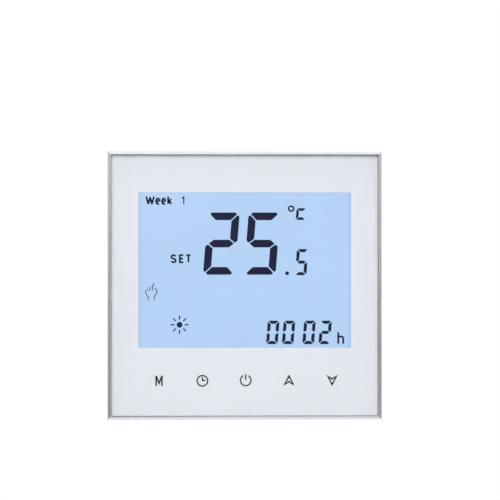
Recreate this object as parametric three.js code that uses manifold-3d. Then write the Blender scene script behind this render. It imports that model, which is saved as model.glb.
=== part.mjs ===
// Flush wall thermostat with a touch glass front, a clip-on display unit and a power box behind the wall.
// Units are millimetres and +Z is up. The wall is the plane y = 0 and the glass looks along -Y.
// The origin is the centre of the mounting plate's back face.

import * as THREE from "three";
import { mergeVertices } from "three/addons/utils/BufferGeometryUtils.js";
import Module from "manifold-3d";

const wasm = await Module();
wasm.setup();

// ---------------------------------------------------------------- driving dimensions

const FACE_WIDTH = 88;
const FACE_HEIGHT = 86;
const FRONT_Y = -13.5; // front edge of the trim frame
const GAP = 0.1; // between pieces that touch
const SLIP = 0.2; // between pieces that slide into each other

const WINDOW_WIDTH = 68.5; // clear display window in the print
const WINDOW_TOP = 30;
const WINDOW_BOTTOM = -20;

const KEY_COUNT = 5; // touch areas
const KEY_PITCH = 14;
const KEY_Z = -30.5;

const BOX_WIDTH = 52; // power box behind the wall
const BOX_HEIGHT = 50;
const BOX_BACK_Y = 26.5;

const POLES = 6; // wire terminals
const POLE_PITCH = 7.5;
const POLE_Z = -19; // centre line of the terminal screws

const SCREW_SPACING = 60; // wall box screws, across and up

// ---------------------------------------------------------------- depth of each layer

const GLASS_SUNK = 0.2; // the glass lies this far behind the frame's front edge
const GLASS_THICK = 1.8;
const SHEET_THICK = 0.2; // print film and reflector
const LCD_THICK = 1.8;
const GUIDE_THICK = 2;
const BOARD_THICK = 1.6;
const BOARD_CLEARANCE = 0.15; // behind the reflector

const GLASS_FRONT = FRONT_Y + GLASS_SUNK;
const GLASS_BACK = GLASS_FRONT + GLASS_THICK;
const FILM_FRONT = GLASS_BACK + GAP / 2;
const FILM_BACK = FILM_FRONT + SHEET_THICK;
const LCD_FRONT = FILM_BACK + GAP / 2;
const LCD_BACK = LCD_FRONT + LCD_THICK;
const GUIDE_FRONT = LCD_BACK + GAP;
const GUIDE_BACK = GUIDE_FRONT + GUIDE_THICK;
const REFLECTOR_FRONT = GUIDE_BACK + GAP / 2;
const REFLECTOR_BACK = REFLECTOR_FRONT + SHEET_THICK;
const BOARD_FRONT = REFLECTOR_BACK + BOARD_CLEARANCE;
const BOARD_BACK = BOARD_FRONT + BOARD_THICK;
const HOUSING_BACK_WALL = [-2.4, -1.2];
const HOUSING_RIM_Y = -0.3;
const PLATE_THICK = 0.8;
const PLATE_STEP = 0.3; // the plate's middle is pressed forward by this much, to seat the power box
const PLATE_MIDDLE = [-PLATE_THICK - PLATE_STEP, -PLATE_STEP];
const PLATE_CORNER = 2;
const FRAME_BACK = -7.5;

// ---------------------------------------------------------------- solids

/** The pieces or shapes that `make` gives for 0 to count - 1. */
function times(count, make) {
  return Array.from({ length: count }, (_, i) => make(i));
}

/** A closed geometry as a manifold-3d solid. */
function toSolid(geometry) {
  const bare = geometry.clone();
  bare.deleteAttribute("normal");
  bare.deleteAttribute("uv");
  const merged = mergeVertices(bare, 1e-4);
  return new wasm.Manifold(
    new wasm.Mesh({
      numProp: 3,
      vertProperties: merged.attributes.position.array,
      triVerts: new Uint32Array(merged.index.array),
    }),
  );
}

/** A manifold-3d solid as a geometry with flat faces. */
function toGeometry(solid) {
  const mesh = solid.getMesh();
  const geometry = new THREE.BufferGeometry();
  geometry.setAttribute("position", new THREE.BufferAttribute(mesh.vertProperties, 3));
  geometry.setIndex(new THREE.BufferAttribute(mesh.triVerts, 1));
  const flat = geometry.toNonIndexed();
  flat.computeVertexNormals();
  return flat;
}

function join(...geometries) {
  return toGeometry(geometries.map(toSolid).reduce((whole, next) => whole.add(next)));
}

function cut(body, ...tools) {
  return toGeometry(tools.map(toSolid).reduce((left, tool) => left.subtract(tool), toSolid(body)));
}

/** A box from its limits along each axis. */
function box([x0, x1], [y0, y1], [z0, z1]) {
  const geometry = new THREE.BoxGeometry(x1 - x0, y1 - y0, z1 - z0);
  return geometry.translate((x0 + x1) / 2, (y0 + y1) / 2, (z0 + z1) / 2);
}

/** A box centred at (x, z) with its depth from y0 to y1. */
function block(width, height, [y0, y1], x = 0, z = 0) {
  return box([x - width / 2, x + width / 2], [y0, y1], [z - height / 2, z + height / 2]);
}

/** A round bar along Y, centred at (x, z). */
function rod(radius, [y0, y1], x = 0, z = 0, sides = 20, backRadius = radius) {
  const geometry = new THREE.CylinderGeometry(backRadius, radius, y1 - y0, sides);
  return geometry.translate(x, (y0 + y1) / 2, z);
}

/** The outline of a rectangle with round corners, in the plane of the wall. */
function roundedOutline(width, height, radius) {
  const x = width / 2 - radius;
  const z = height / 2 - radius;
  const outline = new THREE.Shape();
  outline.absarc(x, z, radius, 0, Math.PI / 2);
  outline.absarc(-x, z, radius, Math.PI / 2, Math.PI);
  outline.absarc(-x, -z, radius, Math.PI, 1.5 * Math.PI);
  outline.absarc(x, -z, radius, 1.5 * Math.PI, 2 * Math.PI);
  return outline;
}

/** A plate with round corners, flat on the wall's plane, from y0 to y1. */
function plate(width, height, radius, [y0, y1], x = 0, z = 0, cornerSteps = 3) {
  const geometry = new THREE.ExtrudeGeometry(roundedOutline(width, height, radius), {
    depth: y1 - y0,
    bevelEnabled: false,
    curveSegments: cornerSteps,
  });
  return geometry.rotateX(Math.PI / 2).translate(x, y1, z);
}

// ---------------------------------------------------------------- finishes

const FINISH = {
  glass: { color: 0xe8eef2, roughness: 0.05, metalness: 0, transparent: true, opacity: 0.35 },
  whitePrint: { color: 0xe6e9ef, roughness: 0.4, metalness: 0 },
  display: { color: 0xb3d1f5, roughness: 0.2, metalness: 0 },
  clearPlastic: { color: 0xf2f7fb, roughness: 0.15, metalness: 0 },
  polishedAluminium: { color: 0xc9cbd0, roughness: 0.25, metalness: 1 },
  whitePlastic: { color: 0xeef0f2, roughness: 0.5, metalness: 0 },
  blackPlastic: { color: 0x1f2124, roughness: 0.5, metalness: 0 },
  greenPlastic: { color: 0x2f7d4f, roughness: 0.5, metalness: 0 },
  bluePlastic: { color: 0x2c5fa8, roughness: 0.45, metalness: 0 },
  yellowPlastic: { color: 0xd9b340, roughness: 0.45, metalness: 0 },
  board: { color: 0x1f5a3a, roughness: 0.45, metalness: 0 },
  rubber: { color: 0x3a3c40, roughness: 0.8, metalness: 0 },
  steel: { color: 0xb5b8bc, roughness: 0.35, metalness: 1 },
  brass: { color: 0xc9a75a, roughness: 0.3, metalness: 1 },
};

function piece(name, geometry, finish) {
  const mesh = new THREE.Mesh(geometry, new THREE.MeshStandardMaterial(FINISH[finish]));
  mesh.name = name;
  return mesh;
}

// ---------------------------------------------------------------- front: frame, glass, print

const FRAME_WALL = 1; // the bright edge seen from the front
const FRAME_LEDGE = 0.8; // step behind the glass
const FRAME_CORNER = 0.6;
const GLASS_CORNER = 0.4;
const THROAT_CORNER = 1;
const FILM_CORNER = 0.8;
const OPENING_WIDTH = FACE_WIDTH - 2 * FRAME_WALL;
const OPENING_HEIGHT = FACE_HEIGHT - 2 * FRAME_WALL;
const THROAT_WIDTH = OPENING_WIDTH - 2 * FRAME_LEDGE;
const THROAT_HEIGHT = OPENING_HEIGHT - 2 * FRAME_LEDGE;
const PAST = 1; // how far a cutting tool runs past a face
const OVERLAP = 0.2; // how far joined shapes of one piece run into each other

function trimFrame() {
  const outer = plate(FACE_WIDTH, FACE_HEIGHT, FRAME_CORNER, [FRONT_Y, FRAME_BACK]);
  const glassSeat = plate(OPENING_WIDTH, OPENING_HEIGHT, GLASS_CORNER, [FRONT_Y - PAST, GLASS_BACK + GAP]);
  const throatDepth = [FRONT_Y - PAST, FRAME_BACK + PAST];
  const throat = plate(THROAT_WIDTH, THROAT_HEIGHT, THROAT_CORNER, throatDepth);
  return piece("trim_frame", cut(outer, glassSeat, throat), "polishedAluminium");
}

function frontGlass() {
  const width = OPENING_WIDTH - 2 * SLIP;
  const height = OPENING_HEIGHT - 2 * SLIP;
  const panel = plate(width, height, GLASS_CORNER, [GLASS_FRONT, GLASS_BACK]);
  return piece("front_glass", panel, "glass");
}

const WINDOW_Z = (WINDOW_TOP + WINDOW_BOTTOM) / 2;
const WINDOW_HEIGHT = WINDOW_TOP - WINDOW_BOTTOM;

function printFilm() {
  const width = THROAT_WIDTH - 2 * SLIP;
  const height = THROAT_HEIGHT - 2 * SLIP;
  const sheet = plate(width, height, FILM_CORNER, [FILM_FRONT, FILM_BACK]);
  const window = block(WINDOW_WIDTH, WINDOW_HEIGHT, [FILM_FRONT - PAST, FILM_BACK + PAST], 0, WINDOW_Z);
  return piece("print_film", cut(sheet, window), "whitePrint");
}

// ---------------------------------------------------------------- display stack

const LCD_BORDER = 2.5; // display glass past the window on each side
const LCD_WIDTH = WINDOW_WIDTH + 2 * LCD_BORDER;
const LCD_HEIGHT = WINDOW_HEIGHT + 2 * LCD_BORDER;
const HOLDER_WALL = 1.5;
const HOLDER_SLIP = 0.25;
const HOLDER_CORNER = 1;
const LED_BAR_WIDTH = 2;
const LED_LENS = 1; // the lamps stand this far out of their strip, towards the light guide

function lcdPanel() {
  return piece("lcd_panel", block(LCD_WIDTH, LCD_HEIGHT, [LCD_FRONT, LCD_BACK], 0, WINDOW_Z), "display");
}

function lcdHolder() {
  const innerWidth = LCD_WIDTH + 2 * HOLDER_SLIP;
  const innerHeight = LCD_HEIGHT + 2 * HOLDER_SLIP;
  const depth = [LCD_FRONT, BOARD_FRONT - GAP];
  const outerWidth = innerWidth + 2 * HOLDER_WALL;
  const outerHeight = innerHeight + 2 * HOLDER_WALL;
  const outer = plate(outerWidth, outerHeight, HOLDER_CORNER, depth, 0, WINDOW_Z);
  const inner = block(innerWidth, innerHeight, [LCD_FRONT - PAST, BOARD_FRONT + PAST], 0, WINDOW_Z);
  return piece("lcd_holder", cut(outer, inner), "whitePlastic");
}

const GUIDE_LEFT = -LCD_WIDTH / 2 + LED_BAR_WIDTH + GAP;
const GUIDE_RIGHT = LCD_WIDTH / 2 - GAP;
const ZEBRA_HEIGHT = 2;
const GUIDE_TOP = WINDOW_TOP + LCD_BORDER - GAP;
const GUIDE_BOTTOM = WINDOW_BOTTOM - LCD_BORDER + ZEBRA_HEIGHT + 2 * GAP;

function lightGuide() {
  const guide = box([GUIDE_LEFT, GUIDE_RIGHT], [GUIDE_FRONT, GUIDE_BACK], [GUIDE_BOTTOM, GUIDE_TOP]);
  return piece("light_guide", guide, "clearPlastic");
}

function reflectorSheet() {
  const sheet = box([GUIDE_LEFT, GUIDE_RIGHT], [REFLECTOR_FRONT, REFLECTOR_BACK], [GUIDE_BOTTOM, GUIDE_TOP]);
  return piece("reflector_sheet", sheet, "whitePrint");
}

function ledBar() {
  const lampCount = 6;
  const lampLength = 3;
  const inset = 0.4; // of a lamp in from the strip's edges
  const stripAcross = [-LCD_WIDTH / 2 + GAP, GUIDE_LEFT - GAP - LED_LENS];
  const strip = box(stripAcross, [GUIDE_FRONT, GUIDE_BACK], [GUIDE_BOTTOM, GUIDE_TOP]);
  const lampAcross = [stripAcross[0] + inset, GUIDE_LEFT - GAP];
  const lampDepth = [GUIDE_FRONT + inset, GUIDE_BACK - inset];
  const spacing = (GUIDE_TOP - GUIDE_BOTTOM) / lampCount;
  const lamps = times(lampCount, (i) => {
    const z = GUIDE_BOTTOM + spacing * (i + 0.5);
    return box(lampAcross, lampDepth, [z - lampLength / 2, z + lampLength / 2]);
  });
  return piece("led_bar", join(strip, ...lamps), "whitePlastic");
}

function zebraStrip() {
  const endMargin = 3; // short of the window at each end
  const length = WINDOW_WIDTH - 2 * endMargin;
  const z = WINDOW_BOTTOM - LCD_BORDER + GAP + ZEBRA_HEIGHT / 2;
  const strip = block(length, ZEBRA_HEIGHT, [LCD_BACK + GAP, BOARD_FRONT - GAP], 0, z);
  return piece("zebra_strip", strip, "rubber");
}

// ---------------------------------------------------------------- screws

/** A pan-head screw along Y, head at the front, with a cross recess. */
function panScrew(x, z, headFront, { headRadius, headHeight, shankRadius, length }) {
  const headBack = headFront + headHeight;
  const topRadius = headRadius * 0.8;
  const head = rod(topRadius, [headFront, headBack], x, z, 20, headRadius);
  const shank = rod(shankRadius, [headBack - OVERLAP, headBack + length], x, z, 12);
  const recessDepth = [headFront - PAST, headFront + headHeight / 2];
  const recessLength = headRadius * 1.1;
  const recessWidth = headRadius * 0.3;
  const across = block(recessLength, recessWidth, recessDepth, x, z);
  const up = block(recessWidth, recessLength, recessDepth, x, z);
  return cut(join(head, shank), across, up);
}

// ---------------------------------------------------------------- display board and what is on it

const COLLAR_WALL = 1.6;
const COLLAR_WIDTH = THROAT_WIDTH - 2 * SLIP;
const COLLAR_HEIGHT = THROAT_HEIGHT - 2 * SLIP;
const CAVITY_WIDTH = COLLAR_WIDTH - 2 * COLLAR_WALL;
const CAVITY_HEIGHT = COLLAR_HEIGHT - 2 * COLLAR_WALL;
const BOARD_SLIP = 0.4;
const BOARD_WIDTH = CAVITY_WIDTH - 2 * BOARD_SLIP;
const BOARD_HEIGHT = CAVITY_HEIGHT - 2 * BOARD_SLIP;
const BOARD_CORNER = 1;

const BOARD_SCREW = { headRadius: 1.9, headHeight: 1.4, shankRadius: 1, length: 4 };
const BOARD_SCREW_X = BOARD_WIDTH / 2 - 2.3;
const BOARD_SCREW_Z = BOARD_HEIGHT / 2 - 2.2;
const CORNERS = [
  [-1, -1],
  [1, -1],
  [1, 1],
  [-1, 1],
];

const LINK_PINS = 6;
const LINK_PITCH = 2.54;
const LINK_Z = 12;
const LINK_WIDTH = LINK_PINS * LINK_PITCH;
const LINK_DEPTH = 2.5; // of the header's and the socket's bodies, up the board
const LINK_PIN_SIDE = 0.64;
const LINK_PIN_TIP = 5;
const LINK_HOLE = { width: LINK_WIDTH + 2, height: 6 };

const SENSOR = { x: -30, z: -BOARD_HEIGHT / 2 + 3.2 };
const SENSOR_NOTCH = { width: 5, height: 7, z: -BOARD_HEIGHT / 2 + 3 };

function linkPinX(i) {
  return (i - (LINK_PINS - 1) / 2) * LINK_PITCH;
}

function displayBoard() {
  const holeRadius = BOARD_SCREW.shankRadius + 0.3;
  const sheet = plate(BOARD_WIDTH, BOARD_HEIGHT, BOARD_CORNER, [BOARD_FRONT, BOARD_BACK]);
  const through = [BOARD_FRONT - PAST, BOARD_BACK + PAST];
  const screwHoles = CORNERS.map(([sx, sz]) =>
    rod(holeRadius, through, sx * BOARD_SCREW_X, sz * BOARD_SCREW_Z, 16),
  );
  const notch = block(SENSOR_NOTCH.width, SENSOR_NOTCH.height, through, SENSOR.x, SENSOR_NOTCH.z);
  return piece("display_board", cut(sheet, ...screwHoles, notch), "board");
}

function boardScrews() {
  return CORNERS.map(([sx, sz], i) => {
    const headFront = BOARD_FRONT - GAP - BOARD_SCREW.headHeight;
    const screw = panScrew(sx * BOARD_SCREW_X, sz * BOARD_SCREW_Z, headFront, BOARD_SCREW);
    return piece(`board_screw_${i + 1}`, screw, "steel");
  });
}

/** A coil spring that stands between the print film and the board, behind one touch area. */
function touchSpring(i) {
  const coilRadius = 2.4;
  const wireRadius = 0.3;
  const turns = 3.5;
  const stepsPerTurn = 12;
  const front = FILM_BACK + GAP + wireRadius;
  const back = BOARD_FRONT - GAP - wireRadius;
  class Coil extends THREE.Curve {
    getPoint(t, target = new THREE.Vector3()) {
      const angle = 2 * Math.PI * turns * t;
      return target.set(
        coilRadius * Math.cos(angle),
        THREE.MathUtils.lerp(front, back, t),
        coilRadius * Math.sin(angle),
      );
    }
  }
  const section = new THREE.Shape().absarc(0, 0, wireRadius, 0, 2 * Math.PI);
  const geometry = new THREE.ExtrudeGeometry(section, {
    extrudePath: new Coil(),
    steps: Math.round(turns * stepsPerTurn),
    curveSegments: 3,
  });
  geometry.translate((i - (KEY_COUNT - 1) / 2) * KEY_PITCH, 0, KEY_Z);
  return piece(`touch_spring_${i + 1}`, geometry, "steel");
}

function microcontroller() {
  const bodyWidth = 8;
  const bodyHeight = 13;
  const legPairs = 9;
  const legPitch = 1.27;
  const legWidth = 0.5;
  const legReach = 1.2; // out of the body on each side
  const bodyDepth = [BOARD_BACK + 0.2, BOARD_BACK + 1.6];
  const legDepth = [BOARD_BACK + GAP, BOARD_BACK + 0.5];
  const at = { x: -15, z: 22 };
  const body = block(bodyWidth, bodyHeight, bodyDepth, at.x, at.z);
  const legs = times(legPairs, (i) => {
    const z = at.z + (i - (legPairs - 1) / 2) * legPitch;
    return block(bodyWidth + 2 * legReach, legWidth, legDepth, at.x, z);
  });
  return piece("microcontroller", join(body, ...legs), "blackPlastic");
}

function wifiModule() {
  const at = { x: 24, z: 20 };
  const carrierThick = 0.8;
  const canHeight = 1.7;
  const canBelowCentre = 3; // the aerial needs the carrier's upper end
  const carrierBack = BOARD_BACK + GAP + carrierThick;
  const carrier = block(16, 24, [BOARD_BACK + GAP, carrierBack], at.x, at.z);
  const canDepth = [carrierBack - GAP, carrierBack - GAP + canHeight];
  const can = plate(12, 15, 0.8, canDepth, at.x, at.z - canBelowCentre);
  return piece("wifi_module", join(carrier, can), "steel");
}

function buzzer() {
  const at = { x: -26, z: -12 };
  const side = 9;
  const back = BOARD_BACK + 2.4;
  const holeRadius = 0.9;
  const holeDepth = 1;
  const body = plate(side, side, 1.5, [BOARD_BACK + GAP, back], at.x, at.z);
  const soundHole = rod(holeRadius, [back - holeDepth, back + PAST], at.x, at.z, 12);
  return piece("buzzer", cut(body, soundHole), "blackPlastic");
}

function clockCell() {
  const at = { x: 24, z: -12 };
  const cellRadius = 6.2;
  const cellFront = BOARD_BACK + 0.4;
  const cellThick = 2;
  const tabLength = 18;
  const tabWidth = 3;
  const cell = rod(cellRadius, [cellFront, cellFront + cellThick], at.x, at.z, 32);
  const tab = block(tabLength, tabWidth, [BOARD_BACK + GAP, cellFront + GAP], at.x, at.z);
  return piece("clock_cell", join(cell, tab), "steel");
}

function roomSensor() {
  const beadRadius = 1.2;
  const beadStretch = 1.25; // along its leads
  const beadDrop = 1.5;
  const leadRadius = 0.25;
  const leadLength = 3;
  const leadRise = 0.6;
  const leadSpacing = 1.2;
  const y = (BOARD_FRONT + BOARD_BACK) / 2;
  const bead = new THREE.SphereGeometry(beadRadius, 14, 10).scale(1, 1, beadStretch);
  bead.translate(SENSOR.x, y, SENSOR.z - beadDrop);
  const leads = [-leadSpacing / 2, leadSpacing / 2].map((dx) => {
    const lead = new THREE.CylinderGeometry(leadRadius, leadRadius, leadLength, 8);
    return lead.rotateX(Math.PI / 2).translate(SENSOR.x + dx, y, SENSOR.z + leadRise);
  });
  return piece("room_sensor", join(bead, ...leads), "blackPlastic");
}

function linkHeader() {
  const baseBack = BOARD_BACK + 2.5;
  const pinRoot = BOARD_BACK + 1;
  const base = block(LINK_WIDTH, LINK_DEPTH, [BOARD_BACK + GAP, baseBack], 0, LINK_Z);
  const pins = times(LINK_PINS, (i) =>
    block(LINK_PIN_SIDE, LINK_PIN_SIDE, [pinRoot, LINK_PIN_TIP], linkPinX(i), LINK_Z),
  );
  return piece("link_header", join(base, ...pins), "blackPlastic");
}

// ---------------------------------------------------------------- rear housing of the display unit

const HOUSING_WIDTH = OPENING_WIDTH;
const HOUSING_HEIGHT = OPENING_HEIGHT;
const HOUSING_FRONT = FRAME_BACK + GAP;
const COLLAR_CORNER = 1.4;
const CAVITY_CORNER = 1;
const SKIRT_CORNER = 2;
const TAB_X = 22;
const TAB_Z = 35.5;
const TAB_WIDTH = 8;
const TAB_THICK = 1;
const TAB_REACH = 1.2; // through the housing's back wall
const BOX_SCREW = { headRadius: 2.4, headHeight: 1.2, shankRadius: 1.4, length: 9 };
const BOX_SCREW_X = 20.5;
const BOX_SCREW_Z = 19.5;
const BOX_SCREW_ENDS = [
  [-1, -1],
  [1, 1],
];

/** Slots through the housing's side walls that let room air reach the sensor. */
function ventSlots() {
  const slotCount = 9;
  const slotWidth = 1.4;
  const pitch = 4;
  const depth = [-6.6, -3.2];
  return times(slotCount, (i) => {
    const x = (i - (slotCount - 1) / 2) * pitch;
    return block(slotWidth, HOUSING_HEIGHT + 2 * PAST, depth, x, 0);
  });
}

function rearHousing() {
  const rimWall = 1.5; // round the recess for the mounting plate
  const bossRadius = 2.2;
  const pilotRadius = BOARD_SCREW.shankRadius + 0.15;
  const bossFoot = HOUSING_BACK_WALL[0] + 0.5;
  const pilotEnd = HOUSING_BACK_WALL[0] + 0.6;
  const tabClearance = 1.5;
  const headClearance = 0.8;
  const notch = { width: 8, height: 4, front: -2.2 };

  const collar = plate(COLLAR_WIDTH, COLLAR_HEIGHT, COLLAR_CORNER, [FILM_BACK + GAP, HOUSING_FRONT + PAST]);
  const skirt = plate(HOUSING_WIDTH, HOUSING_HEIGHT, SKIRT_CORNER, [HOUSING_FRONT, HOUSING_RIM_Y]);
  const hollow = plate(CAVITY_WIDTH, CAVITY_HEIGHT, CAVITY_CORNER, [FILM_BACK - PAST, HOUSING_BACK_WALL[0]]);
  const recessWidth = HOUSING_WIDTH - 2 * rimWall;
  const recessHeight = HOUSING_HEIGHT - 2 * rimWall;
  const plateRecess = plate(recessWidth, recessHeight, PLATE_CORNER + 0.4, [HOUSING_BACK_WALL[1], PAST]);
  const tray = cut(join(collar, skirt), hollow, plateRecess, ...ventSlots());

  const bosses = CORNERS.map(([sx, sz]) =>
    rod(bossRadius, [BOARD_BACK + GAP, bossFoot], sx * BOARD_SCREW_X, sz * BOARD_SCREW_Z, 20),
  );
  const wall = [HOUSING_BACK_WALL[0] - PAST, HOUSING_BACK_WALL[1] + PAST];
  const pilots = CORNERS.map(([sx, sz]) =>
    rod(pilotRadius, [BOARD_BACK - PAST, pilotEnd], sx * BOARD_SCREW_X, sz * BOARD_SCREW_Z, 12),
  );
  const tabSlots = CORNERS.map(([sx, sz]) =>
    block(TAB_WIDTH + tabClearance, TAB_THICK + tabClearance, wall, sx * TAB_X, sz * TAB_Z),
  );
  const headHoles = BOX_SCREW_ENDS.map(([sx, sz]) =>
    rod(BOX_SCREW.headRadius + headClearance, wall, sx * BOX_SCREW_X, sz * BOX_SCREW_Z, 24),
  );
  const linkHole = block(LINK_HOLE.width, LINK_HOLE.height, wall, 0, LINK_Z);
  const releaseNotches = [-1, 1].map((side) =>
    block(notch.width, notch.height, [notch.front, HOUSING_RIM_Y + PAST], side * TAB_X, -HOUSING_HEIGHT / 2),
  );
  const shell = cut(join(tray, ...bosses), ...pilots, ...tabSlots, ...headHoles, linkHole, ...releaseNotches);
  return piece("rear_housing", shell, "whitePlastic");
}

// ---------------------------------------------------------------- mounting plate

const PLATE_WIDTH = HOUSING_WIDTH - 4;
const PLATE_HEIGHT = HOUSING_HEIGHT - 4;
const SLOT_WIDTH = 5;
const SLOT_LENGTH = 10;
const BOX_SEAT_SLIP = 1; // round the power box, in the plate's seat

/** A slot with round ends; `upright` runs it along Z. */
function screwSlot(x, z, upright) {
  const size = upright ? [SLOT_WIDTH, SLOT_LENGTH] : [SLOT_LENGTH, SLOT_WIDTH];
  return plate(...size, SLOT_WIDTH / 2 - 0.01, [-PLATE_THICK - PAST, PAST], x, z, 4);
}

function mountingPlate() {
  const seatWidth = BOX_WIDTH + 2 * BOX_SEAT_SLIP;
  const seatHeight = BOX_HEIGHT + 2 * BOX_SEAT_SLIP;
  const foldWidth = 1; // the pressed middle is this much larger than its seat
  const sheet = plate(PLATE_WIDTH, PLATE_HEIGHT, PLATE_CORNER, [-PLATE_THICK, 0]);
  const middle = plate(seatWidth + foldWidth, seatHeight + foldWidth, PLATE_CORNER, PLATE_MIDDLE);
  const seat = plate(seatWidth, seatHeight, PLATE_CORNER, [-PLATE_STEP, PAST]);
  const tabDepth = [HOUSING_BACK_WALL[0] - TAB_REACH, -PLATE_THICK / 2];
  const tabs = CORNERS.map(([sx, sz]) => block(TAB_WIDTH, TAB_THICK, tabDepth, sx * TAB_X, sz * TAB_Z));
  const through = [PLATE_MIDDLE[0] - PAST, PAST];
  const half = SCREW_SPACING / 2;
  const slots = [
    screwSlot(-half, 0, true),
    screwSlot(half, 0, true),
    screwSlot(0, -half, false),
    screwSlot(0, half, false),
  ];
  const linkHole = block(LINK_HOLE.width, LINK_HOLE.height, through, 0, LINK_Z);
  const holeRadius = BOX_SCREW.shankRadius + 0.3;
  const screwHoles = BOX_SCREW_ENDS.map(([sx, sz]) =>
    rod(holeRadius, through, sx * BOX_SCREW_X, sz * BOX_SCREW_Z, 16),
  );
  const pressed = join(sheet, middle, ...tabs);
  return piece("mounting_plate", cut(pressed, seat, ...slots, linkHole, ...screwHoles), "steel");
}

// ---------------------------------------------------------------- power box

const BOX_WALL = 1.6;
const BOX_CORNER = 2;
const BOX_INNER_CORNER = 1;
const BOX_SCREW_HOLE = BOX_SCREW.shankRadius + 0.4; // radius, in the lid and the board
const BOX_FRONT_Y = GAP - PLATE_STEP;
const LID_FRONT = BOX_FRONT_Y + 0.3;
const LID_THICK = 1.2;
const LID_DEPTH = [LID_FRONT, LID_FRONT + LID_THICK];
const POWER_BOARD_FRONT = 9.5;
const POWER_BOARD_DEPTH = [POWER_BOARD_FRONT, POWER_BOARD_FRONT + BOARD_THICK];
const TERMINAL_END_WALL = 1;
const TERMINAL_WIDTH = POLES * POLE_PITCH + 2 * TERMINAL_END_WALL;
const TERMINAL_FRONT = POWER_BOARD_DEPTH[1] + SLIP;
const TERMINAL_TOP = -13;
const TERMINAL_BOTTOM = -BOX_HEIGHT / 2;
const BOX_INNER_WIDTH = BOX_WIDTH - 2 * BOX_WALL;
const BOX_INNER_HEIGHT = BOX_HEIGHT - 2 * BOX_WALL;

function powerBox() {
  const ventCount = 7;
  const ventPitch = 4;
  const vent = { width: 1.6, height: 12, z: 12 };
  const bossRadius = 2.8;
  const webThick = 2;
  const webOverlap = 0.5; // into the side wall

  const outer = plate(BOX_WIDTH, BOX_HEIGHT, BOX_CORNER, [BOX_FRONT_Y, BOX_BACK_Y]);
  const innerDepth = [BOX_FRONT_Y - PAST, BOX_BACK_Y - BOX_WALL];
  const inner = plate(BOX_INNER_WIDTH, BOX_INNER_HEIGHT, BOX_INNER_CORNER, innerDepth);
  const terminalGap = box(
    [-TERMINAL_WIDTH / 2 - SLIP, TERMINAL_WIDTH / 2 + SLIP],
    [TERMINAL_FRONT - SLIP, BOX_BACK_Y + PAST],
    [TERMINAL_BOTTOM - PAST, TERMINAL_TOP + SLIP],
  );
  const ventDepth = [BOX_BACK_Y - BOX_WALL - PAST, BOX_BACK_Y + PAST];
  const vents = times(ventCount, (i) =>
    block(vent.width, vent.height, ventDepth, (i - (ventCount - 1) / 2) * ventPitch, vent.z),
  );
  const shell = cut(outer, inner, terminalGap, ...vents);
  const post = [LID_DEPTH[1] + GAP, POWER_BOARD_DEPTH[0] - SLIP];
  const bosses = BOX_SCREW_ENDS.map(([sx, sz]) => {
    const webLength = BOX_INNER_WIDTH / 2 - BOX_SCREW_X + webOverlap;
    const webX = (sx * (BOX_INNER_WIDTH / 2 + BOX_SCREW_X)) / 2;
    const web = block(webLength, webThick, post, webX, sz * BOX_SCREW_Z);
    return join(rod(bossRadius, post, sx * BOX_SCREW_X, sz * BOX_SCREW_Z, 24), web);
  });
  const pilotRadius = BOX_SCREW.shankRadius + SLIP;
  const pilotDepth = [LID_DEPTH[1], POWER_BOARD_DEPTH[0] + PAST];
  const pilots = BOX_SCREW_ENDS.map(([sx, sz]) =>
    rod(pilotRadius, pilotDepth, sx * BOX_SCREW_X, sz * BOX_SCREW_Z, 16),
  );
  return piece("power_box", cut(join(shell, ...bosses), ...pilots), "whitePlastic");
}

function powerBoxLid() {
  const linkClearance = 1.2;
  const lidCorner = BOX_INNER_CORNER - SLIP;
  const sheet = plate(BOX_INNER_WIDTH - 2 * SLIP, BOX_INNER_HEIGHT - 2 * SLIP, lidCorner, LID_DEPTH);
  const through = [LID_DEPTH[0] - PAST, LID_DEPTH[1] + PAST];
  const linkHole = block(LINK_WIDTH + linkClearance, LINK_DEPTH + 1.3, through, 0, LINK_Z);
  const screwHoles = BOX_SCREW_ENDS.map(([sx, sz]) =>
    rod(BOX_SCREW_HOLE, through, sx * BOX_SCREW_X, sz * BOX_SCREW_Z, 16),
  );
  return piece("power_box_lid", cut(sheet, linkHole, ...screwHoles), "whitePlastic");
}

function boxScrews() {
  return BOX_SCREW_ENDS.map(([sx, sz], i) => {
    const headFront = PLATE_MIDDLE[0] - GAP - BOX_SCREW.headHeight;
    const screw = panScrew(sx * BOX_SCREW_X, sz * BOX_SCREW_Z, headFront, BOX_SCREW);
    return piece(`box_screw_${i + 1}`, screw, "steel");
  });
}

// ---------------------------------------------------------------- power board and what is on it

const BAR_TAIL_Z = POLE_Z + 4;
const BAR_TAIL_WIDTH = 1.4;
const BAR_TAIL_THICK = 0.8;
const POWER_PARTS_FRONT = POWER_BOARD_DEPTH[1] + GAP;
const SMALL_PARTS_Z = -5; // the row of capacitors, varistor and fuse

function poleX(i) {
  return (i - (POLES - 1) / 2) * POLE_PITCH;
}

function powerBoard() {
  const edgeClearance = 0.5;
  const width = BOX_INNER_WIDTH - 2 * edgeClearance;
  const height = BOX_INNER_HEIGHT - 2 * edgeClearance;
  const sheet = block(width, height, POWER_BOARD_DEPTH);
  const through = [POWER_BOARD_DEPTH[0] - PAST, POWER_BOARD_DEPTH[1] + PAST];
  const tailHoles = times(POLES, (i) =>
    block(BAR_TAIL_WIDTH + 0.6, BAR_TAIL_THICK + 0.6, through, poleX(i), BAR_TAIL_Z),
  );
  const screwHoles = BOX_SCREW_ENDS.map(([sx, sz]) =>
    rod(BOX_SCREW_HOLE, through, sx * BOX_SCREW_X, sz * BOX_SCREW_Z, 16),
  );
  return piece("power_board", cut(sheet, ...tailHoles, ...screwHoles), "board");
}

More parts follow.
